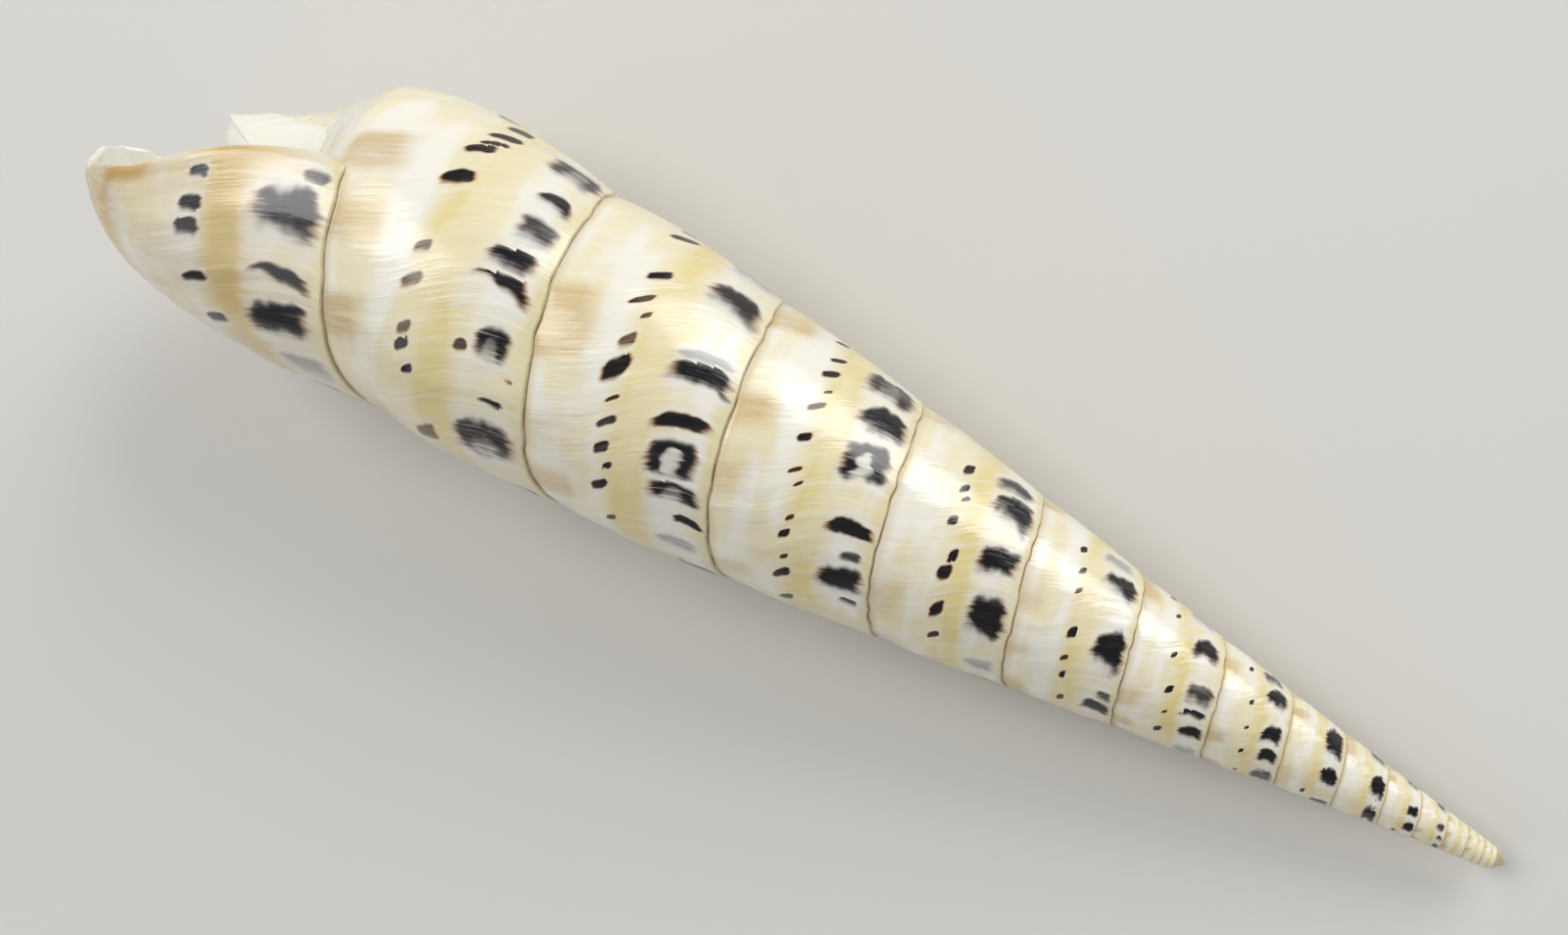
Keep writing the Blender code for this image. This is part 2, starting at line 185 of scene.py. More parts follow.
# Lights: name, direction from the shell, distance, size in metres, power in watts
LIGHTS = (
    ("key_softbox", (-.481, .064, .874), .84, (.46, .46), 2.9),
    ("side_softbox", (.2, .85, .5), .9, (.55, .55), 4.8),
    ("fill_softbox", (-.5, -.7, .8), 1.2, (.9, .9), 2.3),
)
ROOM_LIGHT = .25
FLOOR_HALF = 3.0

# Patterns of the glaze: how many features lie in a millimetre of growth
STREAKS = 1.5
FINE_STREAKS = 4.5
# HAIRS spaces the painted glints, thin pale lines over the blotches
HAIRS = 11.0
# The seam's lines, a hairline partly of painted crease shade and a painted shadow under the rim: how far
# below or above the seam each fades out and is full, in millimetres
CRACK_BELOW = (.11, .02)
CRACK_ABOVE = (.15, .03)
RIM_SHADOW = (1.2, .1)
# Polished aragonite: refraction, roughness from and to, and the height of its unevenness in metres
ARAGONITE_IOR = 1.58
GLOSS = (.12, .20)
BUMP_HEIGHT = .00015


def linear(code):
    """Linear colour from an sRGB hex code."""
    values = np.array([int(code[i:i + 2], 16) for i in (0, 2, 4)]) / 255
    bright = ((values + .055) / 1.055) ** 2.4
    return tuple(float(v) for v in np.where(values <= .04045, values / 12.92, bright))


def ease(x, pairs):
    """Smooth curve through pairs of x and value that never overshoots between them.

    Each stretch is a cubic. Its slope at a pair is a weighted mean of the slopes on both sides.
    """
    xs, ys = np.array(pairs, float).T
    gap = np.diff(xs)
    rise = np.diff(ys) / gap
    slope = np.zeros(len(xs))
    same = rise[:-1] * rise[1:] > 0
    before = 2 * gap[1:] + gap[:-1]
    after = gap[1:] + 2 * gap[:-1]
    first = np.where(same, rise[:-1], 1)
    second = np.where(same, rise[1:], 1)
    slope[1:-1] = np.where(same, (before + after) / (before / first + after / second), 0)
    slope[0] = rise[0]
    slope[-1] = rise[-1]
    x = np.clip(x, xs[0], xs[-1])
    i = np.clip(np.searchsorted(xs, x) - 1, 0, len(gap) - 1)
    f = (x - xs[i]) / gap[i]
    start = ys[i] * (1 + 2 * f) * (1 - f) ** 2 + gap[i] * slope[i] * f * (1 - f) ** 2
    end = ys[i + 1] * f * f * (3 - 2 * f) + gap[i] * slope[i + 1] * f * f * (f - 1)
    return start + end


def soft_step(x, start, stop):
    """Rise from 0 at start to 1 at stop with level ends."""
    f = np.clip((x - start) / (stop - start), 0, 1)
    return f * f * (3 - 2 * f)


def wander(x, y, seed):
    """Smooth random surface from -1 to 1: random values at whole x and y, eased in between."""
    table = np.random.default_rng(seed).random((256, 64)) * 2 - 1
    i, j = np.floor(x).astype(int), np.floor(y).astype(int)
    f, g = x - i, y - j
    f, g = f * f * (3 - 2 * f), g * g * (3 - 2 * g)
    near = table[i % 256, j % 64] * (1 - f) + table[(i + 1) % 256, j % 64] * f
    far = table[i % 256, (j + 1) % 64] * (1 - f) + table[(i + 1) % 256, (j + 1) % 64] * f
    return near * (1 - g) + far * g


def seam_reach(turn):
    """Distance of the seam from the shell's tip: it shrinks by a near-constant share each turn."""
    a, b, c = GROWTH
    return (SEAM_AT_LIP + CONE_TIP) * np.exp(-a * turn - b * turn ** 2 - c * turn ** 3) - CONE_TIP


def seam_radius(turn):
    """Radius at the seam, a share of the distance that falls slowly towards the tip."""
    reach = seam_reach(turn)
    a, b, c = TAPER
    x = (reach + CONE_TIP) / TAPER_LENGTH
    return (reach + CONE_TIP) * (a + b * x + c * x * x) + TIP_SWELL * np.exp(-reach / TIP_SWELL_LENGTH)


def lower_radius(turn):
    """Radius at a whorl's lower seam, flared on the last turn where nothing covers it."""
    return seam_radius(np.maximum(turn - 1, 0)) + ease(turn, LIP_FLARE)


def whorl_height(turn):
    """Distance between a whorl's two seams along the axis."""
    return seam_reach(turn - 1) - seam_reach(turn)


def front_reach(turn):
    """Distance from the tip to the front edge; a whorl further back has the same front, smaller."""
    scale = whorl_height(turn) / whorl_height(1.0)
    further = seam_reach(turn - 1) + (FRONT_REACH[-1][1] - seam_reach(0.0)) * scale
    return np.where(turn < 1, ease(turn, FRONT_REACH), further)


def front_radius(turn):
    """Radius of the front edge; a whorl further back has the same one, smaller."""
    further = FRONT_RADIUS[-1][1] * seam_radius(turn) / seam_radius(1.0)
    return np.where(turn < 1, ease(turn, FRONT_RADIUS), further)


def plain_profile(turn, across, horn):
    """Reach and radius on the whorl's side, across 0 to 1, and on its front, across 1 to 2."""
    top, bottom, high = seam_reach(turn), seam_reach(turn - 1), whorl_height(turn)
    top_radius, bottom_radius = seam_radius(turn), lower_radius(turn)
    side = np.clip(across, 0, 1)
    front = np.clip(across - 1, 0, 1) * FRONT_END
    bulge = ease(turn, SIDE_BULGE) * high * 4 * side * (1 - side) * (1 + BULGE_SKEW * (2 * side - 1))
    step_size = SEAM_STEP * np.minimum(high, SEAM_STEP_HEIGHT)
    step = step_size * np.minimum(side / SEAM_STEP_WIDTH, 1) * (1 - side)
    side_radius = top_radius + (bottom_radius - top_radius) * side + bulge + step
    end = front_reach(turn) + np.where(turn < 1, horn * ease(turn, HORN), 0)
    crest = ease(turn, CREST) * np.clip((across - CREST_FROM) / (2 - CREST_FROM), 0, 1) ** 2
    end_radius = front_radius(turn) + crest
    full = ease(turn, FRONT_FULLNESS)
    start, finish = FALL_START[0] + FALL_START[1] * full, FALL_END[0] + FALL_END[1] * full
    fall = (1 - front ** start) ** finish
    front_side = end_radius + (bottom_radius - end_radius) * (1 - FRONT_SHRINK * front) * fall
    radius = np.where(across > 1, front_side, side_radius)
    reach = np.where(across > 1, bottom + (end - bottom) * front, top + (bottom - top) * side)
    return reach, radius


def profile(turn, across, horn=1.0):
    """The profile with its corner rounded on the last turn: a mean of three places across it.

    The tip closes as a round dome.
    """
    turn, across = np.broadcast_arrays(np.asarray(turn, float), np.asarray(across, float))
    last, first = ROUNDING_TURNS
    open_part = np.clip((first - turn) / (first - last), 0, 1)
    fade_in = np.clip((across - ROUNDING_FROM) / ROUNDING_FADE, 0, 1)
    width = ROUNDING * open_part * fade_in * np.clip((2 - across) / ROUNDING_FADE, 0, 1)
    low = plain_profile(turn, across - width, horn)
    mid = plain_profile(turn, across, horn)
    high = plain_profile(turn, across + width, horn)
    reach = (low[0] + 2 * mid[0] + high[0]) / 4
    radius = (low[1] + 2 * mid[1] + high[1]) / 4
    dome = np.sqrt(1 - (1 - np.clip(reach / TIP_DOME, .05, 1)) ** 2)
    return reach, radius * dome


def around(turn, reach, radius):
    """Turn a reach and a radius about the axis, a full circle for each turn."""
    angle = radians(LIP_ANGLE) - 2 * pi * np.asarray(turn, float)
    return np.stack([radius * np.cos(angle), radius * np.sin(angle), reach], -1)


def skin(turn, across, horn=1.0):
    """Point on the smooth outside."""
    return around(turn, *profile(turn, across, horn))


def outward(turn, across, horn=1.0):
    """Direction that points straight out of the skin, from two small steps along it."""
    along = skin(turn + SMALL_TURN, across, horn) - skin(turn - SMALL_TURN, across, horn)
    side = np.asarray(across) < 1
    low = np.where(side, across - SMALL_ACROSS, np.maximum(across - SMALL_ACROSS, 1))
    high = np.where(side, np.minimum(across + SMALL_ACROSS, 1), np.minimum(across + SMALL_ACROSS, 2))
    over = skin(turn, high, horn) - skin(turn, low, horn)
    direction = np.cross(over, along)
    return direction / np.linalg.norm(direction, axis=-1, keepdims=True)


def grown(turn, across):
    """The turn at which a point's growth line starts at the upper seam."""
    near_lip = np.clip(1 - turn / LIP_SHAPE_UNTIL, 0, 1)
    return turn - ease(across, GROWTH_LINE) * (1 - near_lip) - ease(across, LIP_LINE) * near_lip


def relief(turn, across, shape):
    """Small rises of the skin: growth ridges that follow the lip's line, and slow dents.

    Ridges are random heights spaced evenly along the growth, squared so that they stay narrow.
    """
    size = seam_radius(turn) / seam_radius(0.0)
    line = grown(turn, across)
    spacing = shape.ridge_spacing / MM / (2 * pi * seam_radius(1.0))
    sway = .35 * wander(across * 4, line * 9, 11)
    coarse = wander(line / spacing + sway, across * 1.5, 12)
    fine = wander(line * 2.3 / spacing + 2 * sway, across * 3, 13)
    ridges = np.maximum(coarse, 0) ** 2 + .45 * fine
    dents = wander(line * 11, across * 3.5, 14)
    fade = np.clip(np.minimum(across, np.where(across > 1, 1, 1 - across)) / .05, 0, 1)
    stronger = 1 + shape.lip_ridges * np.clip(1 - turn / .4, 0, 1)
    return (shape.ridge_height * ridges * stronger + shape.dent_depth * dents) / MM * size * fade


def seam_wander(turn, shape):
    """How far the seam strays along the axis: a slow sway and small nicks."""
    slow = wander(turn * 9, 0 * turn, 21)
    nicks = wander(turn * 55, 0 * turn, 22)
    return shape.seam_sway / MM * (slow + .7 * nicks) * seam_radius(turn) / seam_radius(0.0)


def fine_skin(turn, across, shape):
    """The outside with its relief, its swaying seams and the crack beside each seam."""
    reach, radius = profile(turn, across)
    upper = np.clip(1 - across / .2, 0, 1) ** 2
    lower = np.clip(1 - np.abs(1 - across) / .2, 0, 1) ** 2
    last = turn < 1
    reach = reach + seam_wander(turn, shape) * upper
    reach = reach + np.where(last, 0, seam_wander(np.maximum(turn - 1, 0), shape) * lower)
    crack = np.clip(1 - np.minimum(across, np.abs(1 - across)) / SEAM_STEP_WIDTH, 0, 1)
    covered = np.where(across < .5, 1, np.clip((turn - 1) * 40, 0, 1))
    size = seam_radius(turn) / seam_radius(0.0)
    radius = radius - shape.crack_depth / MM * crack * covered * size * (across <= 1)
    return around(turn, reach, radius) + outward(turn, across) * relief(turn, across, shape)[..., None]


class Surface:
    """Collects points, faces and each face corner's place: turn, across and layer."""

    def __init__(self):
        self.points = np.zeros((0, 3))
        self.faces = []
        self.places = []

    def add(self, points):
        first = len(self.points)
        grid = np.asarray(points, float)
        self.points = np.concatenate([self.points, grid.reshape(-1, 3)])
        return np.arange(first, len(self.points)).reshape(grid.shape[:-1])

    def polygons(self, faces, places, flip=False):
        self.faces.append(faces[:, ::-1] if flip else faces)
        self.places.append(places[:, ::-1] if flip else places)

    def quads(self, grid, place, flip=False):
        """One face for each cell of a grid of point numbers; a cell with a shared corner is a triangle."""
        def cells(array):
            corners = (array[:-1, :-1], array[:-1, 1:], array[1:, 1:], array[1:, :-1])
            return np.stack(corners, 2).reshape((-1, 4) + array.shape[2:])
        faces, places = cells(grid), cells(place)
        twin = faces == np.roll(faces, -1, 1)
        self.polygons(faces[twin.sum(1) == 0], places[twin.sum(1) == 0], flip)
        for corner in range(4):
            narrow = twin[:, corner] & (twin.sum(1) == 1)
            self.polygons(np.delete(faces[narrow], corner, 1), np.delete(places[narrow], corner, 1), flip)

    def sheet(self, grid, place, coarse_from, flip=False):
        """Quads over a grid that goes on with every second column past one row."""
        self.quads(grid[:coarse_from + 1], place[:coarse_from + 1], flip)
        self.quads(grid[coarse_from + 1:, ::2], place[coarse_from + 1:, ::2], flip)

        def corners(array):
            fine, coarse = array[coarse_from], array[coarse_from + 1, ::2]
            return np.stack([fine[:-2:2], fine[1:-1:2], fine[2::2], coarse[1:], coarse[:-1]], 1)
        self.polygons(corners(grid), corners(place), flip)

    def fan(self, ring, centre, place, flip=False):
        """Triangles from each step of a closed ring to one point."""
        faces = np.stack([ring, np.full(len(ring), centre), np.roll(ring, -1)], -1)
        self.polygons(faces, np.repeat(place[None, None], len(ring), 0).repeat(3, 1), flip)


def places(turn, across, layer):
    """Turn, across and layer as one array, with the three spread to one shape."""
    return np.stack(np.broadcast_arrays(turn, across, float(layer)), -1)


def outside(surface, across_front, shape):
    """The coiled strip from the lip to the tip, and the front of the last whorl.

    A whorl's lower seam uses the same points as the next whorl's upper seam.
    """
    side = np.array(SIDE_STEPS, float)
    rows = int(round(STEPS_PER_TURN * TURNS))
    turn = np.arange(rows + 1) / STEPS_PER_TURN
    last = np.arange(STEPS_PER_TURN + 1) / STEPS_PER_TURN
    turns = np.repeat(turn[:, None], len(side), 1)
    turns[:len(last)] = last[:, None] + ease(side, LIP_LINE)[None] * (1 - last[:, None])
    across = np.broadcast_to(side, turns.shape)
    points = fine_skin(turns, across, shape)
    strip = np.zeros(turns.shape, int)
    strip[:, 1:] = surface.add(points[:, 1:])
    strip[:-STEPS_PER_TURN, 0] = strip[STEPS_PER_TURN:, -1]
    strip[-STEPS_PER_TURN:, 0] = surface.add(points[-STEPS_PER_TURN:, 0])
    surface.sheet(strip, places(turns, across, 0), int(COARSE_FROM_TURN * STEPS_PER_TURN))
    front_turns = last[:, None] + (1 - last[:, None]) * ease(across_front, LIP_LINE)[None]
    front = surface.add(fine_skin(front_turns, np.broadcast_to(across_front, front_turns.shape), shape))
    wide = np.concatenate([strip[:len(last), -1:], front], 1)
    wide_turns = np.concatenate([turns[:len(last), -1:], front_turns], 1)
    surface.quads(wide, places(wide_turns, np.append(1, across_front)[None], 0))
    tip_ring = np.concatenate([strip[rows - STEPS_PER_TURN:, 0], strip[rows, 2:-1:2]])
    all_turns = np.concatenate([turns[:len(last)], front_turns], 1)
    return np.concatenate([strip[:len(last)], front], 1), all_turns, tip_ring


def inside_wall(surface, across, rows):
    """Inner face of the outer wall: the skin moved in by the wall, thin at the lip."""
    turn = np.arange(rows + 1) / STEPS_PER_TURN
    turns = turn[:, None] + ease(across, LIP_LINE)[None] * np.clip(1 - turn[:, None], 0, 1)
    corner = CORNER_START + CORNER_GROW * np.clip(turn / CORNER_GROWN_AT, 0, 1)[:, None]
    place = corner + across[None] * (2 - corner) / 2
    place = np.minimum(np.where(across[None] >= 1, np.maximum(place, across[None]), place), 2)
    thin_from, thin_to = WALL_THIN_FROM
    full_across = np.clip((thin_to - across[None]) / (thin_to - thin_from), 0, 1)
    grow = np.clip(turn / WALL_FULL_AT, 0, 1)[:, None] * full_across
    scale = (seam_radius(turn) / seam_radius(0.0))[:, None]
    depth = (LIP_THICKNESS + (WALL - LIP_THICKNESS) * grow) * scale
    points = skin(turns, place, 0.0) - outward(turns, place, 0.0) * depth[..., None]
    points[:, 0] = skin(1 + turn, 1 + corner[:, 0])
    grid = surface.add(points)
    coarse = int(INSIDE_COARSE_FROM_TURN * STEPS_PER_TURN)
    surface.sheet(grid, places(turns, place, 1), coarse, flip=True)
    return grid, corner[:, 0]


def lip(surface, outer, inner, turns, across):
    """Rounded edge from the outside to the inside, thin at the corner by the seam."""
    start = surface.points[outer[0]]
    end = surface.points[inner[0]]
    along = np.gradient(start, axis=0)
    forward = np.cross(outward(turns, across), along)
    forward /= np.linalg.norm(forward, axis=1, keepdims=True)
    behind = surface.points[outer[1]]
    forward *= np.where(((start - behind) * forward).sum(1) < 0, -1, 1)[:, None]
    proud = LIP_THICKNESS * LIP_ROUND * np.clip(across / LIP_ROUND_FROM, 0, 1)[:, None]
    rows = [outer[0]]
    for step in range(1, LIP_STEPS):
        f = step / LIP_STEPS
        blend = (1 - cos(pi * f)) / 2
        between = start * (1 - blend) + end * blend + forward * proud * sin(pi * f)
        rows.append(np.append(outer[0][0], surface.add(between[1:])))
    rows.append(inner[0])
    grid = np.array(rows)
    layer = np.linspace(0, 1, LIP_STEPS + 1)[:, None] + 0 * across[None]
    place = np.stack([turns[None] + 0 * layer, across[None] + 0 * layer, layer], -1)
    surface.quads(grid, place, flip=True)
    return grid


def bow(a, b, c, d, s):
    """Cubic curves from a to d, pulled towards b and c; a row of points for each curve."""
    a, b, c, d = (point[:, None] for point in (a, b, c, d))
    s = s[None, :, None]
    return a * (1 - s) ** 3 + 3 * b * s * (1 - s) ** 2 + 3 * c * s * s * (1 - s) + d * s ** 3


def pillar_paths(turn, start, end, horn_turn, s):
    """Curves over the middle pillar, from the whorl behind it to the horn or the outer wall."""
    scale = seam_radius(turn) / seam_radius(0.0)
    angle = radians(LIP_ANGLE) - 2 * pi * turn
    radius = PILLAR_RADIUS * scale
    share = np.clip(turn / horn_turn, 0, 1)
    open_part = turn <= horn_turn

    def mix(pair):
        return pair[0] * (1 - share) + pair[1] * share
    back_angle = angle + radians(PILLAR_BACK_ANGLE)
    middle_angle = np.where(open_part, np.radians(mix(PILLAR_TIP_ANGLES)), back_angle)
    middle_radius = np.where(open_part, mix(PILLAR_TIP_RADII), radius)
    middle_reach = np.where(open_part, PILLAR_TIP_REACH, end[:, 2] - PILLAR_BACK_REACH * scale)
    rise = np.where(open_part, mix(PILLAR_RISE), PILLAR_RISE[1] * scale)
    near = np.stack([radius * np.cos(angle), radius * np.sin(angle), start[:, 2] + rise], -1)
    middle = np.stack([middle_radius * np.cos(middle_angle), middle_radius * np.sin(middle_angle),
                       middle_reach], -1)
    return bow(start, near, middle, end, s)


def middle(surface, outer, inner, lip_grid, corner, across_front, horn_row):
    """Front of the whorl behind, and the pillar, from the mouth's edge down into the hollow."""
    rows = len(inner) - 1
    turn = np.arange(rows + 1) / STEPS_PER_TURN
    reach = np.concatenate([[0], across_front - 1])
    place = 1 + corner[:, None] + (1 - corner[:, None]) * reach[None]
    wall = skin(1 + np.repeat(turn[:, None], len(reach), 1), place)
    across_count = STEPS_PER_TURN - horn_row
    s = np.linspace(0, 1, across_count + 1)
    grid = np.zeros((rows + 1, len(reach) + across_count), int)
    grid[0] = np.concatenate([outer[-1, -len(reach):], outer[horn_row:-1, -1][::-1]])
    grid[1:, 0] = inner[1:, 0]
    grid[1:, 1:len(reach)] = surface.add(wall[1:, 1:])
    horn_turn = horn_row / STEPS_PER_TURN
    at_lip = np.round(np.arange(rows + 1) * LIP_STEPS / horn_row).astype(int)
    rim = lip_grid[np.minimum(at_lip, LIP_STEPS), -1]
    last = np.where(np.arange(rows + 1) <= horn_row, rim, inner[:, -1])
    edge = surface.points[grid[0, len(reach) - 1:]]
    first = pillar_paths(turn[:1], edge[:1], edge[-1:], horn_turn, s)
    path = pillar_paths(turn[1:], wall[1:, -1], surface.points[last[1:]], horn_turn, s)
    near = np.maximum(0, 1 - turn[1:] / WALL_FULL_AT)
    path += (edge[None] - first) * (near * near * (3 - 2 * near))[:, None, None]
    grid[1:, len(reach):-1] = surface.add(path[:, 1:-1])
    grid[1:, -1] = last[1:]
    layer = 2 + np.concatenate([0 * reach, s[1:]])
    coarse = int(INSIDE_COARSE_FROM_TURN * STEPS_PER_TURN)
    surface.sheet(grid, np.stack(np.broadcast_arrays(turn[:, None], 1.5, layer[None]), -1), coarse)
    return grid


def shell_surface(shape):
    """The whole closed shell, in millimetres, tip at zero and mouth up."""
    surface = Surface()
    across_front = 1 + np.sin(np.linspace(0, 1, FRONT_STEPS + 1)[1:] * pi / 2)
    across = np.concatenate([SIDE_STEPS, across_front])
    rows = int(round(HOLLOW_TURNS * STEPS_PER_TURN))
    lip_back = LIP_LINE[-1][1]
    horn_row = int(round((HORN_TURN - lip_back) / (1 - lip_back) * STEPS_PER_TURN))
    outer, turns, tip_ring = outside(surface, across_front, shape)
    tip_centre = surface.add([[0, 0, 0]])[0]
    surface.fan(tip_ring, tip_centre, np.array([TURNS, .5, 0]), flip=True)
    inner, corner = inside_wall(surface, across, rows)
    rim_outer = np.stack([np.concatenate([outer[0], outer[1:horn_row + 1, -1]]),
                          np.concatenate([outer[1], outer[1:horn_row + 1, -2]])])
    rim_inner = np.concatenate([inner[0], inner[1:horn_row + 1, -1]])[None]
    rim_turns = np.concatenate([turns[0], turns[1:horn_row + 1, -1]])
    rim_across = np.concatenate([across, np.full(horn_row, 2.0)])
    edge = lip(surface, rim_outer, rim_inner, rim_turns, rim_across)
    grid = middle(surface, outer, inner, edge, corner, across_front, horn_row)
    first = np.array([[outer[0, 0], inner[0, 0], inner[1, 0]]])
    surface.polygons(first, np.zeros((1, 3, 3)), flip=True)
    end_ring = np.concatenate([inner[-1, ::2], grid[-1, ::2][::-1][1:-1]])
    end_centre = surface.add(surface.points[end_ring].mean(0)[None])[0]
    surface.fan(end_ring, end_centre, np.array([HOLLOW_TURNS, .5, 1]), flip=False)
    return surface


def camera_axes():
    """The shell's own x, y and z directions as the camera sees them, one in each column."""
    level = cos(AXIS_PITCH)
    axis = np.array([cos(AXIS_YAW) * level, sin(AXIS_YAW) * level, sin(AXIS_PITCH)])
    first = np.cross(axis, [0, 0, 1])
    first /= np.linalg.norm(first)
    return np.stack([first, np.cross(axis, first), axis], 1)


def from_camera(points):
    """Points of the shell, in its own millimetres, as right, down and forward of the camera."""
    return (points + np.array([0, 0, CONE_TIP])) @ camera_axes().T + np.array(TIP_FROM_CAMERA)


def in_photo(points):
    """Where points show in the photo, in pixels along and over the shell's axis as it lies there.

    Perspective divides right and down by forward. A turn then lays the axis along the first number.
    """
    seen = from_camera(points)
    pixels = np.array([PHOTO_WIDTH, PHOTO_HEIGHT]) / 2 + FOCAL_PIXELS * seen[..., :2] / seen[..., 2:]
    along = np.array(AXIS_IN_PHOTO) / np.hypot(*AXIS_IN_PHOTO)
    over = np.array([-along[1], along[0]])
    return pixels @ np.stack([along, over], 1)


def laid_turn():
    """The turn from the shell's own axes to its rest pose: a roll, then a pitch about the short axis."""
    roll, pitch = radians(REST_ROLL), radians(REST_PITCH)
    x = np.array([cos(roll), -sin(roll), 0])
    up = np.array([sin(roll), cos(roll), 0])
    along = np.array([0, 0, 1.0])
    return np.stack([up * sin(pitch) - along * cos(pitch), -x, along * sin(pitch) + up * cos(pitch)])


def rest_shift():
    """Where the turned shell moves so that it stands over the origin with its worn flat at zero."""
    side = np.array(SIDE_STEPS, float)
    turn = np.arange(int(TURNS * STEPS_PER_TURN)) / STEPS_PER_TURN
    whorls = skin(turn[:, None] + 0 * side, side[None] + 0 * turn[:, None])
    last = np.linspace(0, 1, STEPS_PER_TURN)[:, None]
    front = np.linspace(1, 2, FRONT_STEPS)[None]
    ends = skin(last + ease(front, LIP_LINE) * (1 - last), front + 0 * last)
    shown = turn[:, None] >= ease(side, LIP_LINE)[None] * np.clip(1 - turn[:, None], 0, 1)
    points = np.concatenate([whorls[shown], ends.reshape(-1, 3), np.zeros((1, 3))]) @ laid_turn().T
    low, high = points.min(0), points.max(0)
    return -np.array([(low[0] + high[0]) / 2, (low[1] + high[1]) / 2, low[2] + WORN_DEPTH])
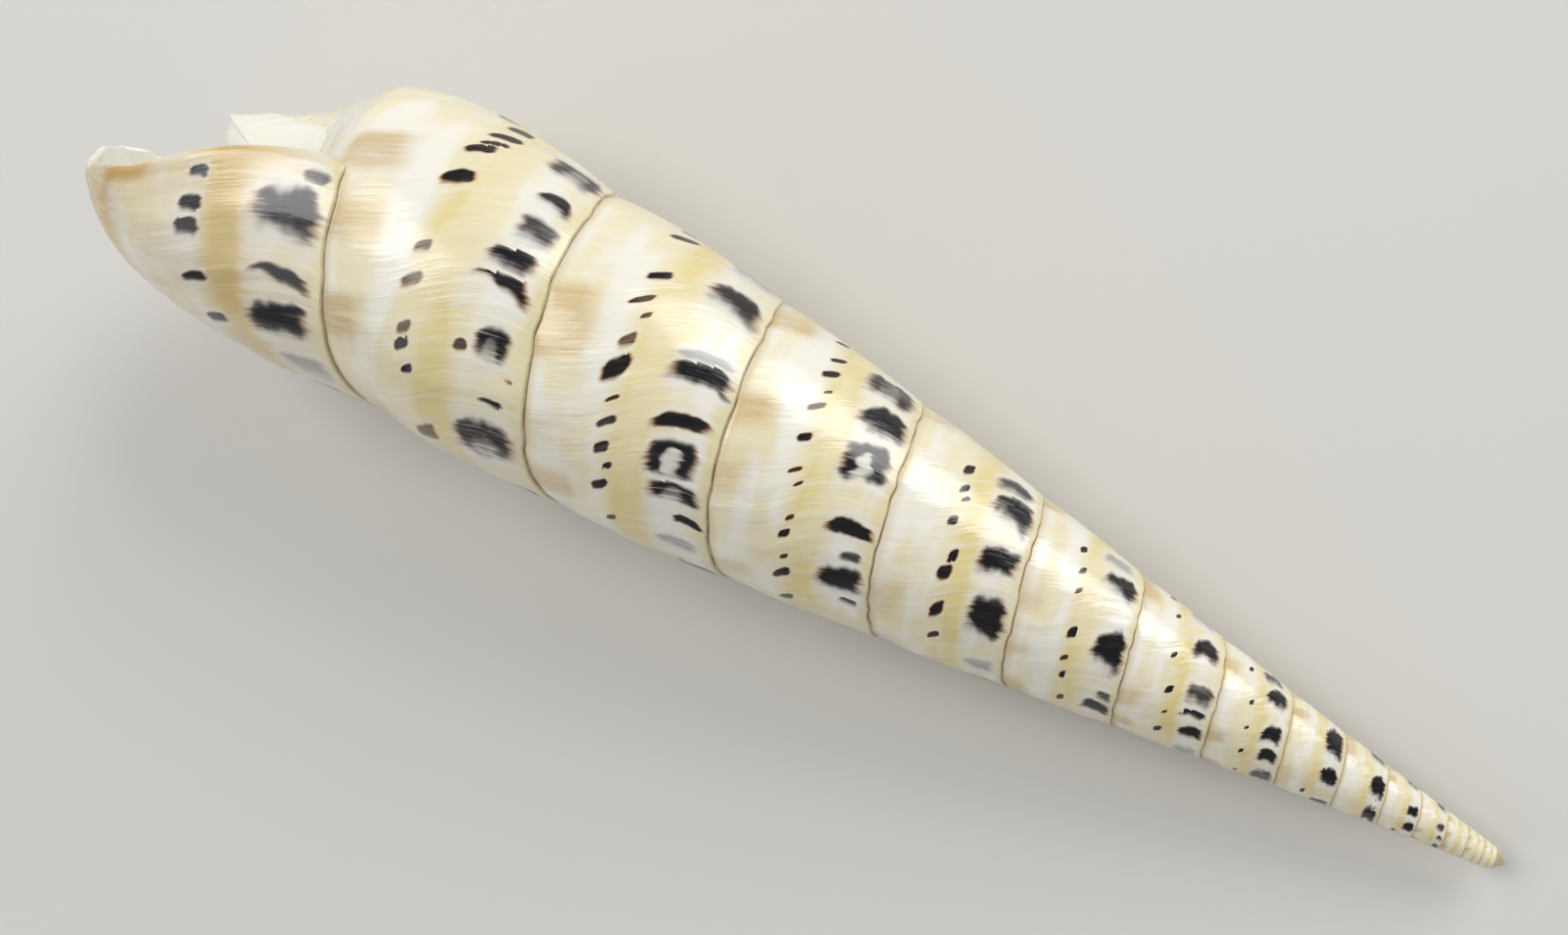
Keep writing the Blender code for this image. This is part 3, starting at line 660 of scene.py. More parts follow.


# Marks on the shown side, whorl by whorl from the lip. Each is a rectangle read in the photo,
# in pixels along the shell's axis as it lies there, from and to, then over it, from and to, and a kind.
# Most were then moved, by a few pixels on the large whorls and by more near the tip.
PHOTO_MARKS = (
    ((355, 385, 10, 30, "soft"), (318, 395, 42, 92, "halo"), (340, 415, 118, 140, "arch"),
     (363, 435, 150, 180, "dark"), (415, 480, 185, 200, "grey"),
     (252, 270, 57, 72, "deep"), (256, 279, 89, 108, "deep"), (261, 288, 110, 133, "deep"),
     (288, 318, 157, 170, "deep"), (330, 358, 184, 196, "deep")),
    ((575, 637, -110, -96, "streaked"), (580, 618, -75, -60, "halo"), (575, 618, -45, -18, "soft"),
     (558, 610, -8, 15, "halo"), (548, 617, 20, 45, "arch"), (590, 625, 73, 106, "streaked"),
     (570, 590, 95, 110, "rust"), (629, 638, 101, 117, "rust"), (617, 643, 140, 148, "halo"),
     (607, 678, 166, 194, "streaked"),
     (525, 549, -120, -116, "spot"), (510, 539, -108, -103, "spot"), (505, 532, -98, -93, "spot"),
     (495, 520, -89, -81, "spot"), (485, 513, -55, -40, "spot"), (492, 503, -41, -34, "rust"),
     (490, 505, 25, 40, "faint"), (493, 513, 58, 75, "faint"), (511, 524, 105, 123, "faint"),
     (516, 529, 120, 137, "spot"), (535, 545, 144, 156, "spot"), (572, 600, 191, 204, "faint")),
    ((785, 843, -92, -86, "grey"), (778, 838, -69, -46, "halo"), (778, 843, -3, 11, "grey"),
     (778, 843, 10, 33, "dark"), (785, 848, 65, 79, "bar"), (795, 850, 95, 125, "ring"),
     (810, 867, 131, 149, "streaked"), (850, 880, 158, 165, "bar"), (838, 890, 180, 190, "grey"),
     (722, 749, -97, -93, "spot"), (717, 739, -55, -47, "spot"), (712, 735, -25, -17, "rust"),
     (730, 738, -12, -5, "rust"), (721, 736, 16, 34, "faint"), (717, 742, 43, 68, "spot"),
     (735, 747, 79, 85, "rust"), (737, 755, 101, 112, "spot"), (746, 760, 127, 141, "spot"),
     (762, 770, 143, 151, "spot"), (759, 775, 161, 173, "spot"), (788, 800, 188, 193, "rust")),
    ((965, 1018, -58, -43, "streaked"), (973, 1025, -29, -6, "dark"), (976, 1028, 8, 40, "ring"),
     (992, 1044, 85, 100, "bar"), (1020, 1043, 115, 125, "soft"), (1005, 1055, 133, 154, "dark"),
     (1037, 1057, 155, 162, "soft"),
     (920, 935, -73, -71, "spot"), (922, 937, -57, -53, "spot"), (921, 937, -43, -37, "spot"),
     (931, 938, -24, -20, "rust"), (923, 940, -8, 0, "rust"), (928, 940, 25, 35, "spot"),
     (934, 946, 61, 67, "rust"), (946, 953, 72, 77, "rust"), (954, 961, 107, 114, "rust"),
     (954, 964, 123, 132, "spot"), (966, 973, 145, 151, "rust"), (966, 984, 160, 169, "spot"),
     (981, 998, 180, 185, "rust")),
    ((1129, 1170, -24, -13, "soft"), (1135, 1181, -7, 20, "halo"), (1147, 1190, 42, 70, "dark"),
     (1162, 1201, 93, 131, "dark"), (1180, 1214, 153, 162, "grey"),
     (1094, 1104, -20, -10, "spot"), (1100, 1108, 0, 8, "spot"), (1106, 1114, 10, 16, "rust"),
     (1103, 1112, 33, 43, "spot"), (1119, 1127, 62, 78, "spot"), (1116, 1129, 80, 96, "spot"),
     (1126, 1139, 118, 135, "spot"), (1135, 1147, 148, 154, "spot")),
    ((1261, 1296, -2, 6, "grey"), (1272, 1309, 14, 33, "halo"), (1292, 1326, 70, 105, "dark"),
     (1318, 1332, 125, 135, "soft"), (1307, 1337, 138, 147, "dark"),
     (1237, 1243, 2, 8, "spot"), (1246, 1252, 21, 28, "spot"), (1251, 1257, 41, 48, "rust"),
     (1263, 1272, 81, 93, "spot"), (1268, 1275, 109, 115, "rust"), (1275, 1282, 124, 131, "spot"),
     (1282, 1289, 147, 152, "rust")),
    ((1368, 1393, 9, 19, "grey"), (1384, 1413, 34, 50, "dark"), (1398, 1428, 75, 96, "soft"),
     (1400, 1428, 98, 108, "dark"), (1408, 1433, 116, 128, "dark"), (1410, 1436, 138, 144, "grey"),
     (1342, 1348, 7, 9, "spot"), (1355, 1360, 20, 24, "rust"), (1368, 1373, 56, 63, "spot"),
     (1378, 1385, 89, 97, "spot"), (1385, 1390, 113, 117, "rust"), (1385, 1392, 131, 136, "spot")),
    ((1463, 1483, 34, 41, "soft"), (1474, 1497, 46, 60, "dark"), (1485, 1507, 80, 97, "dark"),
     (1492, 1512, 103, 115, "dark"), (1492, 1516, 126, 134, "soft"),
     (1446, 1450, 35, 39, "spot"), (1461, 1465, 64, 70, "spot"), (1468, 1472, 90, 94, "rust"),
     (1473, 1477, 114, 118, "spot"), (1476, 1480, 134, 136, "rust")),
    ((1529, 1551, 39, 47, "soft"), (1548, 1568, 57, 80, "dark"), (1558, 1577, 92, 108, "dark"),
     (1558, 1579, 125, 131, "soft"), (1547, 1551, 122, 126, "spot")),
    ((1597, 1611, 58, 64, "soft"), (1609, 1625, 78, 97, "dark"), (1614, 1628, 110, 122, "dark"),
     (1604, 1607, 109, 114, "rust")),
    ((1642, 1652, 65, 71, "soft"), (1654, 1666, 88, 98, "dark"), (1657, 1668, 105, 113, "dark"),
     (1648, 1652, 117, 119, "rust")),
    ((1680, 1689, 73, 79, "soft"), (1688, 1697, 91, 99, "soft"), (1693, 1699, 103, 108, "soft"),
     (1692, 1699, 112, 116, "soft")),
)
# How each kind looks: strength of the ink, softness of its older side, pale middle, how far its
# middle bows towards the lip, share of rust brown, pale streaks, and how much it narrows forwards
KINDS = {
    "dark": (1.0, .35, .0, .15, .10, .50, .25),
    "halo": (1.0, .75, .0, .25, .10, .50, .60),
    "soft": (.80, .80, .0, .15, .10, .70, .30),
    "grey": (.50, .70, .0, .10, .00, .70, .20),
    "streaked": (.95, .40, .35, .10, .10, 1.2, .20),
    "arch": (1.0, .30, .0, .60, .30, .30, .90),
    "ring": (1.0, .25, .75, .10, .10, .40, .0),
    "bar": (1.0, .15, .0, .60, .35, .25, .10),
    "spot": (1.0, .20, .0, .00, .55, .10, .20),
    "deep": (1.0, .65, .0, .20, .15, .50, .30),
    "faint": (.78, .45, .0, .00, .65, .50, .30),
    "rust": (.88, .15, .0, .00, 1.0, .15, .20),
}
# Shown side of each whorl, in turns before and after its middle
SHOWN = (-.22, .27)
HIDDEN_KINDS = ("dark", "halo", "soft", "streaked", "arch", "ring", "bar", "grey", "dark", "halo")
HIDDEN_SPOTS = ("spot", "spot", "rust", "faint", "spot")


def on_shell(spots, whorl):
    """Turn and across of a whorl's shown skin at spots in the photo.

    Each starts from the nearest shown point of a grid, and Newton steps then close the distance. A
    spot just off the shown skin keeps its start.
    """
    rows = np.linspace(0, 1, SEARCH_ROWS)
    turn, across = np.meshgrid(whorl + np.arange(*SEARCH_TURNS, SEARCH_STEP), rows, indexing="ij")
    points = skin(turn, across)
    facing = (outward(turn, across) @ camera_axes().T * from_camera(points)).sum(-1) < 0
    shown = facing & (turn >= ease(across, LIP_LINE))
    grid = in_photo(points[shown])
    nearest = np.array([((grid - spot) ** 2).sum(1).argmin() for spot in spots])
    start = np.stack([turn[shown][nearest], across[shown][nearest]], 1)
    place = start.copy()
    for _ in range(NEWTON_STEPS):
        slopes = [(in_photo(skin(*(place + step).T)) - in_photo(skin(*(place - step).T))) / (2 * SMALL_TURN)
                  for step in np.eye(2) * SMALL_TURN]
        miss = spots - in_photo(skin(*place.T))
        move = np.linalg.solve(np.stack(slopes, -1), miss[..., None])[..., 0]
        place += move.clip(-NEWTON_REACH, NEWTON_REACH)
        place[:, 1] = place[:, 1].clip(0, 1)
    miss = np.abs(spots - in_photo(skin(*place.T))).max(1, keepdims=True)
    return np.where(miss < MOST_MISS, place, start).T


def shown_marks():
    """Marks on the shown side as place, width, start, end and kind: the photo's rectangles on the skin."""
    marks = []
    for whorl, rows in enumerate(PHOTO_MARKS):
        left, right, top, bottom = np.array([row[:4] for row in rows], float).T
        along, over = (left + right) / 2, (top + bottom) / 2
        spots = np.stack([[left, over], [right, over], [along, top], [along, bottom]]).swapaxes(1, 2)
        turn, across = on_shell(spots.reshape(-1, 2), whorl).reshape(2, 4, -1)
        line = grown(turn, across)
        width = np.abs(line[3] - line[2])
        kinds = [row[4] for row in rows]
        marks += list(zip((line[2] + line[3]) / 2, width, across[1], across[0], kinds))
    return marks


def hidden_marks():
    """Marks round the side that the photo doesn't show, strewn along each whorl by one seed."""
    chance = np.random.default_rng(31)
    blotches, spots = [], []
    for whorl in range(0, 13):
        start = whorl + SHOWN[1]
        stop = whorl + 1 + SHOWN[0]
        gap = .052 + .007 * min(whorl, 9)
        place = start + .02
        while place < stop:
            width = gap * chance.uniform(.35, .8)
            kind = HIDDEN_KINDS[int(chance.integers(len(HIDDEN_KINDS)))]
            if kind == "bar":
                width *= .45
            blotches.append((place, width, chance.uniform(.04, .08), chance.uniform(.27, .36), kind))
            place += gap * chance.uniform(.85, 1.5)
        place = start
        while place < stop and whorl < 11:
            width = chance.uniform(.007, .017)
            low = chance.uniform(.49, .54)
            kind = HIDDEN_SPOTS[int(chance.integers(len(HIDDEN_SPOTS)))]
            spots.append((place, width, low, low + chance.uniform(.04, .09), kind))
            place += chance.uniform(.025, .07)
    return blotches + spots


def mark_values(surface):
    """For each face corner: its place in the nearest mark, from -1 to 1 each way, and the mark's look.

    A face takes the mark that its middle lies nearest to, so the marks' edges stay crisp however
    large the faces are. The gap says how far the corner is from where another mark takes over.
    """
    marks = shown_marks() + hidden_marks()
    sizes = np.array([mark[:4] for mark in marks])
    sizes[:, 1] *= MARK_SPREAD
    sizes[:, 2] -= MARK_LENGTHEN
    sizes[:, 3] += MARK_LENGTHEN
    looks = np.array([KINDS[mark[4]] for mark in marks])
    local, ink, tint = [], [], []

    def reach(line, across, number):
        centre, width, low, high = sizes[number]
        along = np.abs(line - centre) - width / 2
        over = np.abs(across - (low + high) / 2) - (high - low) / 2
        return np.maximum(along, over * ACROSS_IN_TURNS) - width * CELL_MARGIN - CELL_LEAST
    for place in surface.places:
        line, across = grown(place[..., 0], place[..., 1]), place[..., 1]
        middle_line, middle_across = line.mean(1), across.mean(1)
        best = np.zeros(len(place))
        owner = np.full(len(place), -1)
        own = np.zeros(across.shape)
        rival = np.zeros(across.shape)
        for number in range(len(marks)):
            distance = reach(middle_line, middle_across, number)
            near = np.flatnonzero(distance < RIVAL_WITHIN)
            corner = reach(line[near], across[near], number)
            nearer = distance[near] < best[near]
            taken, lost = near[nearer], near[~nearer]
            rival[taken] = np.minimum(own[taken], rival[taken])
            own[taken] = corner[nearer]
            rival[lost] = np.minimum(rival[lost], corner[~nearer])
            best[taken] = distance[taken]
            owner[taken] = number
        owned = ((owner >= 0) & (place[..., 2].mean(1) < .01))[:, None]
        mark, look = sizes[owner][:, None], looks[owner][:, None]
        y = (across - (mark[..., 2] + mark[..., 3]) / 2) / ((mark[..., 3] - mark[..., 2]) / 2)
        x = (line - mark[..., 0]) / (mark[..., 1] / 2) - look[..., 3] * (np.clip(y, -2, 2) ** 2 - .4)
        x, y = (np.where(owned, v, 9.0) for v in (x, y))
        gap = np.clip(np.minimum(rival, 0) - own, 0, 1)
        local.append(np.stack([x, y, look[..., 6] + 0 * x], -1))
        ink.append(np.broadcast_to(look[..., :3], x.shape + (3,)) * owned[..., None])
        tint.append(np.stack([gap, look[..., 4] + 0 * x, look[..., 5] + 0 * x], -1) * owned[..., None])
    return local, ink, tint


def growth_length(turn):
    """Millimetres along the whorls from the lip to a turn, summed from each turn's circle."""
    table = np.linspace(-1, TURNS + 1, 800)
    around_length = 2 * pi * seam_radius(np.maximum(table, 0))
    total = np.concatenate([[0], np.cumsum((around_length[1:] + around_length[:-1]) / 2 * np.diff(table))])
    return np.interp(turn, table, total)


def coil_values(surface):
    """For each face corner: growth length, across and turn; distances to the seams; wash of colour."""
    coil, seam, wash = [], [], []
    for place in surface.places:
        turn, across, layer = np.moveaxis(place, -1, 0)
        line = grown(turn, across)
        high = whorl_height(np.maximum(turn, 0))
        coil.append(np.stack([growth_length(line), across, line * LINES_PER_TURN], -1))
        shown = high / np.clip(high / SEAM_FULL_HEIGHT, SEAM_LEAST_SHARE, 1)
        below = np.where((across <= 1) & (turn > 1), (1 - across) * shown, 9.0)
        seam.append(np.stack([across * shown, below, layer], -1))
        near_lip = np.clip(1 - turn / .45, 0, 1)
        smudge = soft_step(wander(line * 24, 0 * line, 41), -.1, .6)
        start = .70 + .07 * wander(line * 24, 0 * line, 43)
        smudge = smudge * soft_step(across, start, start + .13) * soft_step(across, 1.25, 1.05)
        belt = np.exp(-((across - .43) / .10) ** 2)
        bands = np.clip(wander(line * 34, 0 * line, 42) * 1.6, 0, 1) * near_lip
        front = soft_step(turn, .7, .4) * soft_step(across, .95, 1.3) * soft_step(across, 2.0, 1.9)
        tan = np.clip(smudge * .7 + near_lip * (.2 + belt * .7 + bands * .4) + front * .9, 0, 1)
        tan = tan * soft_step(across, .02, .12)
        wash.append(tan)
    return coil, seam, wash


def make_mesh(name, surface):
    """A mesh in metres from the surface's used points and faces, turned and moved to its rest pose."""
    used, numbers = np.unique(np.concatenate([f.ravel() for f in surface.faces]), return_inverse=True)
    points = surface.points[used] @ laid_turn().T + rest_shift()
    points[:, 2] = np.maximum(points[:, 2], 0)
    counts = np.concatenate([np.full(len(f), f.shape[1]) for f in surface.faces])
    corners = np.split(numbers, np.cumsum(counts)[:-1])
    mesh = bpy.data.meshes.new(name)
    mesh.from_pydata((points * MM).tolist(), [], [c.tolist() for c in corners])
    return mesh


def set_values(mesh, name, blocks):
    """Store one vector, or one number, for each face corner as a named attribute."""
    values = np.concatenate([block.ravel() for block in blocks]).astype(np.float32)
    single = len(values) == len(mesh.loops)
    attribute = mesh.attributes.new(name, "FLOAT" if single else "FLOAT_VECTOR", "CORNER")
    attribute.data.foreach_set("value" if single else "vector", values)


def add(tree, kind, inputs=None, out=0, **settings):
    """Add a node with its settings; inputs are values or sockets to link. Returns one output."""
    node = tree.nodes.new(kind)
    for key, value in settings.items():
        setattr(node, key, value)
    for key, value in (inputs or {}).items():
        if isinstance(value, bpy.types.NodeSocket):
            tree.links.new(value, node.inputs[key])
        else:
            node.inputs[key].default_value = value
    return node.outputs[out]


def set_ramp(socket, stops):
    """Fill a colour ramp from pairs of place and linear colour."""
    ramp = socket.node.color_ramp
    while len(ramp.elements) > 1:
        ramp.elements.remove(ramp.elements[-1])
    for number, (place, colour) in enumerate(stops):
        element = ramp.elements[0] if number == 0 else ramp.elements.new(place)
        element.position = place
        element.color = tuple(colour) + (1.0,)
    return socket


def shell_material(colours):
    """Polished aragonite: a dense, waxy, slightly see-through porcelain with a hard gloss.

    The colours lie in the shell, so blotches turn blue-grey where the glaze over them thickens.
    """
    material = bpy.data.materials.new("polished_aragonite")
    material.use_nodes = True
    tree = material.node_tree
    tree.nodes.clear()
    vectors = ("coil", "seam", "mark", "ink", "tint")
    coil, seam, local, ink, tint = (
        add(tree, "ShaderNodeAttribute", out=1, attribute_name=name) for name in vectors)
    wash = add(tree, "ShaderNodeAttribute", out=2, attribute_name="wash")
    place = add(tree, "ShaderNodeTexCoord", out=3)
    paint = {name: (*colour, 1.0) for name, colour in colours.items()}

    def split(vector, part):
        return add(tree, "ShaderNodeSeparateXYZ", {0: vector}, out=part)

    def math(kind, a, b=0.0):
        return add(tree, "ShaderNodeMath", {0: a, 1: b}, operation=kind)

    def plus(a, b):
        return math("ADD", a, b)

    def minus(a, b):
        return math("SUBTRACT", a, b)

    def times(a, b):
        return math("MULTIPLY", a, b)

    def size(a):
        return math("ABSOLUTE", a)

    def at_most_one(a):
        return math("MINIMUM", a, 1.0)

    def mix(factor, a, b):
        return add(tree, "ShaderNodeMix", {0: factor, 6: a, 7: b}, out=2, data_type="RGBA")

    def fade(value, low, high, start=0.0, stop=1.0):
        values = {0: value, 1: low, 2: high, 3: start, 4: stop}
        return add(tree, "ShaderNodeMapRange", values, interpolation_type="SMOOTHSTEP")

    def noise(vector, scale, detail=2.0, rough=0.5):
        return add(tree, "ShaderNodeTexNoise", {"Vector": vector, "Scale": scale, "Detail": detail,
                                                "Roughness": rough})

    def stretched(along, over, shift=0.0, lines=0.0):
        scaled = add(tree, "ShaderNodeVectorMath", {0: coil, 1: (along, over, lines)}, operation="MULTIPLY")
        return add(tree, "ShaderNodeVectorMath", {0: scaled, 1: (shift, shift, shift)}, operation="ADD")

    across = split(coil, 1)
    layer = split(seam, 2)
    streaks = noise(stretched(STREAKS, 2.6), 1.0, 3.0, .6)
    fine_streaks = noise(stretched(FINE_STREAKS, 3.2, 7.0), 1.0, 3.0, .6)
    hairs = noise(stretched(HAIRS, 3.5, 11.0), 1.0, 2.0, .5)
    clouds = noise(stretched(0.0, 4.0, 3.0, .12), 1.0, 2.0)
    grain = noise(place, 900.0, 3.0)

    # Ground: ivory white, a warm belt between blotches and spots, a cream rim at the upper seam
    sway = times(minus(noise(stretched(0.0, 1.5, 4.0, .16), 1.0, 2.0), .5), .16)
    ground = set_ramp(add(tree, "ShaderNodeValToRGB", {0: plus(across, sway)}), (
        (.0, colours["rim"]), (.035, colours["rim"]), (.09, colours["ivory"]), (.24, colours["ivory"]),
        (.37, colours["belt"]), (.49, colours["belt"]), (.60, colours["ivory"]), (.98, colours["ivory"])))
    warm = times(fade(clouds, .40, .60), .85)
    ground = mix(warm, ground, paint["cream"])
    pale = times(fade(streaks, .45, .80), .6)
    ground = mix(pale, ground, paint["ivory"])
    tan_amount = times(wash, fade(streaks, .25, .6, .5, 1.0))
    ground = mix(tan_amount, ground, paint["tan"])
    lines = times(fade(fine_streaks, .50, .78), .18)
    ground = mix(lines, ground, paint["tan"])

    # Marks: each in its own frame from -1 to 1, x back along the growth and y forwards across it.
    # The younger edge is sharp, the older one soft, and both ends run out in fingers.
    slow = minus(noise(stretched(0.0, 7.0, 5.0, .35), 1.0, 2.0), .5)
    fingers = minus(noise(stretched(0.0, 3.0, 9.0, 1.3), 1.0, 3.0, .65), .5)
    thin = minus(fine_streaks, .5)
    x = plus(split(local, 0), plus(times(slow, 1.5), times(thin, .12)))
    y = plus(split(local, 1), plus(times(fingers, .95), times(thin, .2)))
    strength, halo, hollow = (split(ink, part) for part in range(3))
    rust, streak_amount = split(tint, 1), split(tint, 2)
    young = fade(x, -1.44, -.48)
    narrow = times(split(local, 2), plus(y, 1.0))
    old_edge = minus(.95, narrow)
    soft = plus(.38, times(halo, .8))
    old = fade(minus(old_edge, x), times(soft, -1.0), soft)
    ends = fade(size(y), 1.32, .54)
    square_x, square_y = times(x, x), times(y, y)
    corner = plus(plus(square_x, square_y), times(rust, .6))
    ends = times(ends, fade(corner, 2.1, 1.1))
    inner_x = plus(minus(x, .15), times(fingers, 1.6))
    inner = plus(times(inner_x, inner_x), times(square_y, 2.4))
    pale_middle = minus(1.0, times(hollow, fade(inner, .70, .05)))
    pale_streaks = times(streak_amount, fade(fine_streaks, .48, .70, .0, .35))
    body = times(times(young, old), times(ends, pale_middle))
    clear = fade(split(tint, 0), 0.0, GAP_FADE)
    gain = plus(1.05, times(rust, .15))
    full = times(at_most_one(times(body, gain)), clear)
    body = times(full, times(strength, minus(1.0, pale_streaks)))
    # Painted glints: thin pale lines of haze colour over the blotches, standing in for gloss catching the
    # growth lines
    painted_glints = times(fade(hairs, .60, .74), .22)
    shade = set_ramp(add(tree, "ShaderNodeValToRGB", {0: body}), (
        (.0, colours["haze"]), (.25, colours["haze"]), (.60, colours["slate"]), (.97, colours["ink"])))
    depth = minus(full, times(minus(1.0, strength), .9))
    brown = mix(fade(depth, .50, 1.0), paint["rust"], paint["umber"])
    fringe = fade(size(y), .50, .95, .0, .60)
    rusty = at_most_one(plus(rust, times(fringe, fade(x, .9, .2, .25, 1.0))))
    shade = mix(rusty, shade, brown)
    shade = mix(painted_glints, shade, paint["haze"])
    cover = fade(body, .0, .90)
    pale_around = times(fade(size(x), 2.2, .8), fade(size(y), 1.25, .8))
    pale_around = times(times(pale_around, clear), times(minus(1.0, rust), .7))
    colour = mix(pale_around, ground, paint["veil"])
    colour = mix(cover, colour, shade)

    # Seam: a dark brown hairline along the crack, partly brown in the crack and partly painted shade in the
    # crease, patchy along the seam; and a painted tan shadow under the rim
    crack_dirt_and_shade = fade(noise(stretched(.45, 0.0, 2.0), 1.0, 3.0), .32, .64, .15, .90)
    hair = times(fade(split(seam, 0), *CRACK_BELOW), fade(across, 1.02, 1.0))
    under = fade(split(seam, 1), *CRACK_ABOVE)
    # Painted tan shadow under the seam's rim
    shadow = times(fade(split(seam, 1), *RIM_SHADOW), .35)
    colour = mix(shadow, colour, paint["tan"])
    seam_amount = times(at_most_one(plus(hair, under)), crack_dirt_and_shade)
    colour = mix(seam_amount, colour, paint["crack"])

    # Inside and pillar: plain white glaze, clouded a little with ivory
    glaze = mix(fade(noise(place, 60.0), .35, .7, .0, .5), paint["glaze"], paint["ivory"])
    colour = mix(fade(layer, .35, .8), colour, glaze)

    outer = fade(layer, .3, .0)
    height = plus(times(streaks, .6), times(fine_streaks, .15))
    height = plus(times(height, outer), times(grain, .03))
    bump = add(tree, "ShaderNodeBump", {"Strength": .8, "Distance": BUMP_HEIGHT, "Height": height})
    rough = fade(fine_streaks, .3, .7, *GLOSS)
    shader = tree.nodes.new("ShaderNodeBsdfPrincipled")
    tree.links.new(colour, shader.inputs["Base Color"])
    tree.links.new(rough, shader.inputs["Roughness"])
    tree.links.new(bump, shader.inputs["Normal"])
    shader.inputs["IOR"].default_value = ARAGONITE_IOR
    shader.inputs["Subsurface Weight"].default_value = .08
    shader.inputs["Subsurface Radius"].default_value = (1.0, .7, .45)
    shader.inputs["Subsurface Scale"].default_value = .0012
    output = tree.nodes.new("ShaderNodeOutputMaterial")
    tree.links.new(shader.outputs[0], output.inputs["Surface"])
    return material


def floor_material(colour):
    """Matt studio card: an even pale surface with a faint paper tooth."""
    material = bpy.data.materials.new("matt_studio_card")
    material.use_nodes = True
    tree = material.node_tree
    shader = tree.nodes["Principled BSDF"]
    place = add(tree, "ShaderNodeTexCoord", out=3)
    tooth = add(tree, "ShaderNodeTexNoise", {"Vector": place, "Scale": 600.0, "Detail": 2.0})
    bump = add(tree, "ShaderNodeBump", {"Strength": .05, "Distance": .0001, "Height": tooth})
    tree.links.new(bump, shader.inputs["Normal"])
    shader.inputs["Base Color"].default_value = (*colour, 1.0)
    shader.inputs["Roughness"].default_value = .85
    shader.inputs["Specular IOR Level"].default_value = .2
    return material


def camera_place():
    """Where the camera stands and how it is turned, in millimetres, from the axis it sees."""
    seen = camera_axes()
    own_place = -np.array(TIP_FROM_CAMERA) @ seen - np.array([0, 0, CONE_TIP])
    turn = laid_turn()
    spot = turn @ own_place + rest_shift()
    right, down, forward = (turn @ seen[row] for row in range(3))
    return spot, np.stack([right, -down, -forward], 1)


def number_property(name, description, value, unit="LENGTH"):
    """A setting in metres, or a plain number where its unit is NONE."""
    return bpy.props.FloatProperty(name=name, description=description, default=value, unit=unit)


class AugerShape(bpy.types.PropertyGroup):
    """Sizes of the fine relief, for the last whorl; they shrink with the whorls."""
    ridge_height: number_property("Ridge Height", "Height of the growth ridges", .00014)
    ridge_spacing: number_property("Ridge Spacing", "Distance from one growth ridge to the next", .0017)
    lip_ridges: number_property("Lip Ridges", "How much higher the ridges get towards the lip", 1.2, "NONE")
    dent_depth: number_property("Dent Depth", "Depth of the slow unevenness", .00008)
    seam_sway: number_property("Seam Sway", "How far the seam strays from its curve", .00026)
    crack_depth: number_property("Crack Depth", "Depth of the crack along the seam", .00010)


def colour_property(name, description, code):
    """A colour setting whose default is an sRGB hex code."""
    return bpy.props.FloatVectorProperty(
        name=name, description=description, default=linear(code), subtype="COLOR", min=0, max=1)


class AugerColours(bpy.types.PropertyGroup):
    """Colours of the shell and of the stage."""
    ivory: colour_property("Ivory", "Ground of the shell", "F3F0E4")
    cream: colour_property("Cream", "Slow clouds over the ground", "EDE2BA")
    belt: colour_property("Belt", "Warm belt between blotches and spots", "E7D698")
    rim: colour_property("Rim", "Cream rim along the upper seam", "E6DAAA")
    veil: colour_property("Veil", "Whitish ground close to a blotch", "ECEAE2")
    # Tan also paints the shadow under the seam's rim
    tan: colour_property("Tan", "Smudges and growth bands", "C8A86A")
    ink: colour_property("Ink", "Core of the blotches", "08090D")
    slate: colour_property("Slate", "Blotches under more glaze", "2C303B")
    # Haze also paints the glints over the blotches
    haze: colour_property("Haze", "Blue-grey edge of the blotches", "8A8F9C")
    umber: colour_property("Umber", "Core of the spots", "150A06")
    rust: colour_property("Rust", "Thin brown pigment", "A06A1C")
    # The crack colour paints the seam's hairline: partly its own brown, partly painted shade in the crease
    crack: colour_property("Crack", "Hairline of the seam", "8A6434")
    glaze: colour_property("Glaze", "Pillar and inside of the mouth", "F2EFE2")
    floor: colour_property("Floor", "Plain floor", "D9D7D2")


class AUGER_OT_shell(bpy.types.Operator):
    """Build the shell: its coiled surface, its marks and its glaze"""
    bl_idname = "auger.shell"
    bl_label = "Shell"

    def execute(self, context):
        surface = shell_surface(context.scene.auger_shape)
        mesh = make_mesh("auger_shell", surface)
        for name, blocks in zip(("mark", "ink", "tint"), mark_values(surface)):
            set_values(mesh, name, blocks)
        for name, blocks in zip(("coil", "seam", "wash"), coil_values(surface)):
            set_values(mesh, name, blocks)
        mesh.shade_smooth()
        settings = context.scene.auger_colours
        colours = {name: tuple(getattr(settings, name)) for name in AugerColours.__annotations__}
        mesh.materials.append(shell_material(colours))
        shell = bpy.data.objects.new("auger_shell", mesh)
        context.scene.collection.objects.link(shell)
        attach(shell, "root")
        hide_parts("shell")
        return {"FINISHED"}


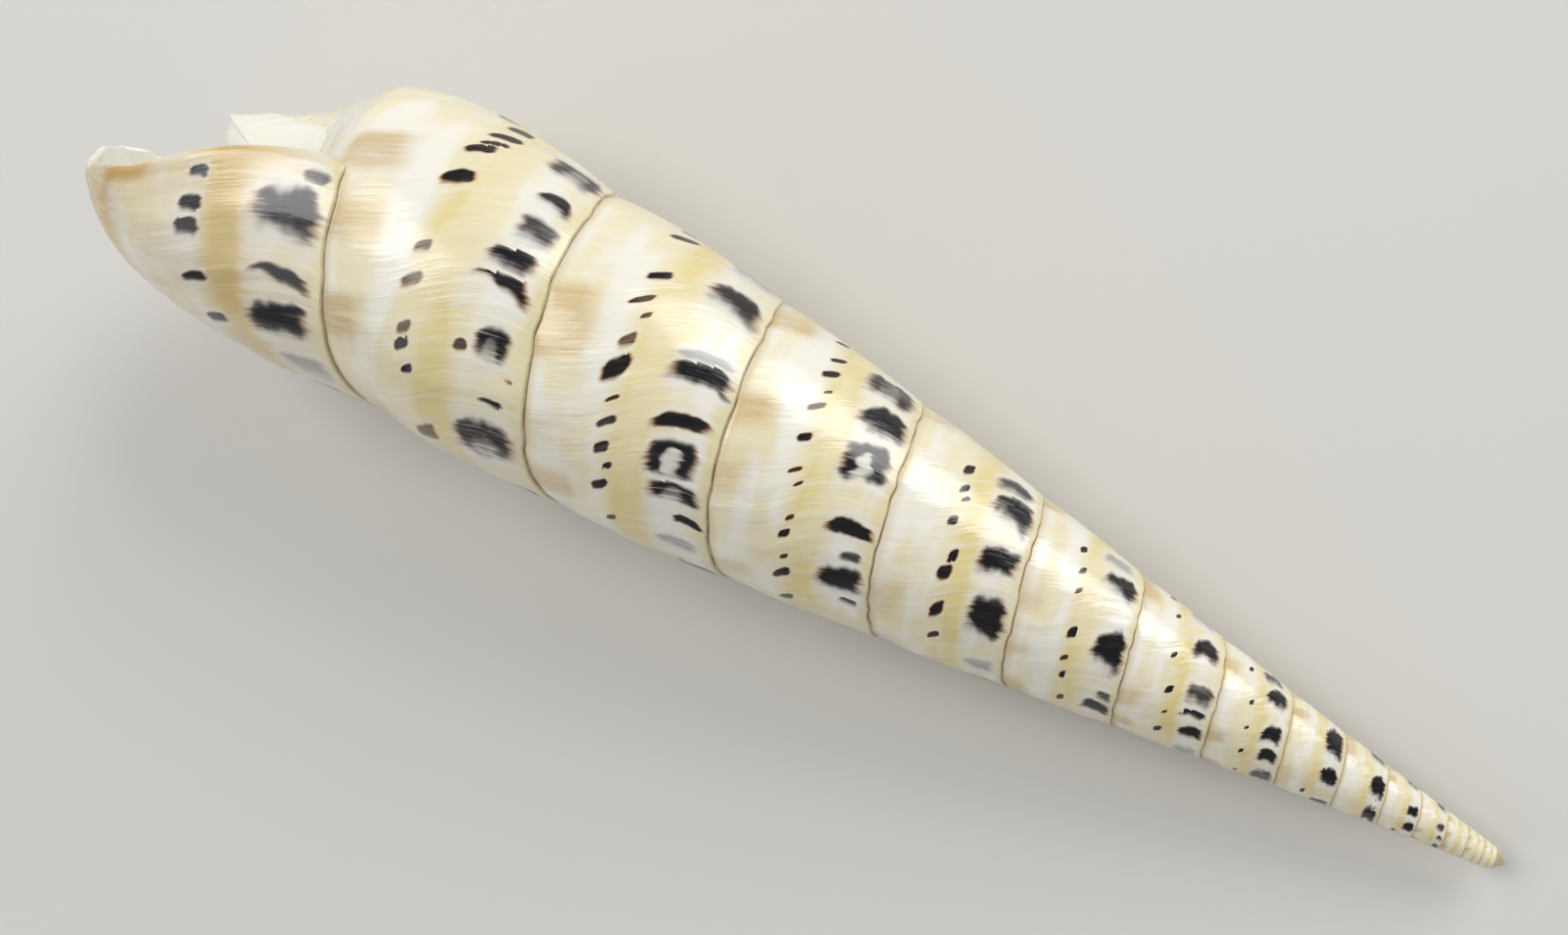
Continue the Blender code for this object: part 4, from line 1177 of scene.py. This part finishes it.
class AUGER_OT_stage(bpy.types.Operator):
    """Set the plain pale floor, the soft studio lights and the camera"""
    bl_idname = "auger.stage"
    bl_label = "Stage"

    def execute(self, context):
        scene = context.scene
        mesh = bpy.data.meshes.new("floor")
        corners = [(x * FLOOR_HALF, y * FLOOR_HALF, 0) for x, y in ((-1, -1), (1, -1), (1, 1), (-1, 1))]
        mesh.from_pydata(corners, [], [(0, 1, 2, 3)])
        mesh.materials.append(floor_material(scene.auger_colours.floor))
        floor = bpy.data.objects.new("floor", mesh)
        scene.collection.objects.link(floor)

        spot, axes = camera_place()
        data = bpy.data.cameras.new("camera")
        data.sensor_width = SENSOR_WIDTH
        data.lens = FOCAL_PIXELS / PHOTO_WIDTH * SENSOR_WIDTH
        data.clip_start = .01
        camera = bpy.data.objects.new("camera", data)
        camera.matrix_world = Matrix.Translation(Vector(spot * MM)) @ Matrix(axes.tolist()).to_4x4()
        scene.collection.objects.link(camera)
        scene.camera = camera

        for name, aim, distance, size, power in LIGHTS:
            lamp = bpy.data.lights.new(name, "AREA")
            lamp.shape = "RECTANGLE"
            lamp.size, lamp.size_y = size
            lamp.energy = power
            light = bpy.data.objects.new(name, lamp)
            direction = Vector(aim).normalized()
            light.location = direction * distance
            light.rotation_euler = direction.to_track_quat("Z", "Y").to_euler()
            scene.collection.objects.link(light)
        world = bpy.data.worlds.new("soft_room")
        world.use_nodes = True
        world.node_tree.nodes["Background"].inputs[0].default_value = (1.0, 1.0, 1.0, 1.0)
        world.node_tree.nodes["Background"].inputs[1].default_value = ROOM_LIGHT
        scene.world = world
        scene.view_settings.view_transform = "Standard"
        return {"FINISHED"}


class AUGER_PT_panel(bpy.types.Panel):
    """Lists the pieces and their settings"""
    bl_label = "Auger"
    bl_space_type = "VIEW_3D"
    bl_region_type = "UI"
    bl_category = "Auger"

    def draw(self, context):
        layout = self.layout
        for operator in OPERATORS:
            layout.operator(operator.bl_idname)
        for group in (context.scene.auger_shape, context.scene.auger_colours):
            box = layout.box()
            for name in type(group).__annotations__:
                box.prop(group, name)


OPERATORS = (AUGER_OT_shell, AUGER_OT_stage)
CLASSES = (AugerShape, AugerColours) + OPERATORS + (AUGER_PT_panel,)


def register():
    """Add the classes and the two groups of settings."""
    for item in CLASSES:
        bpy.utils.register_class(item)
    bpy.types.Scene.auger_shape = bpy.props.PointerProperty(type=AugerShape)
    bpy.types.Scene.auger_colours = bpy.props.PointerProperty(type=AugerColours)


def unregister():
    """Take away what register adds."""
    del bpy.types.Scene.auger_shape
    del bpy.types.Scene.auger_colours
    for item in reversed(CLASSES):
        bpy.utils.unregister_class(item)


def main():
    """Build everything."""
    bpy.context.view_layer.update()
    register()
    bpy.ops.auger.shell()
    bpy.ops.auger.stage()
    bpy.context.view_layer.update()


if __name__ == "__main__":
    main()
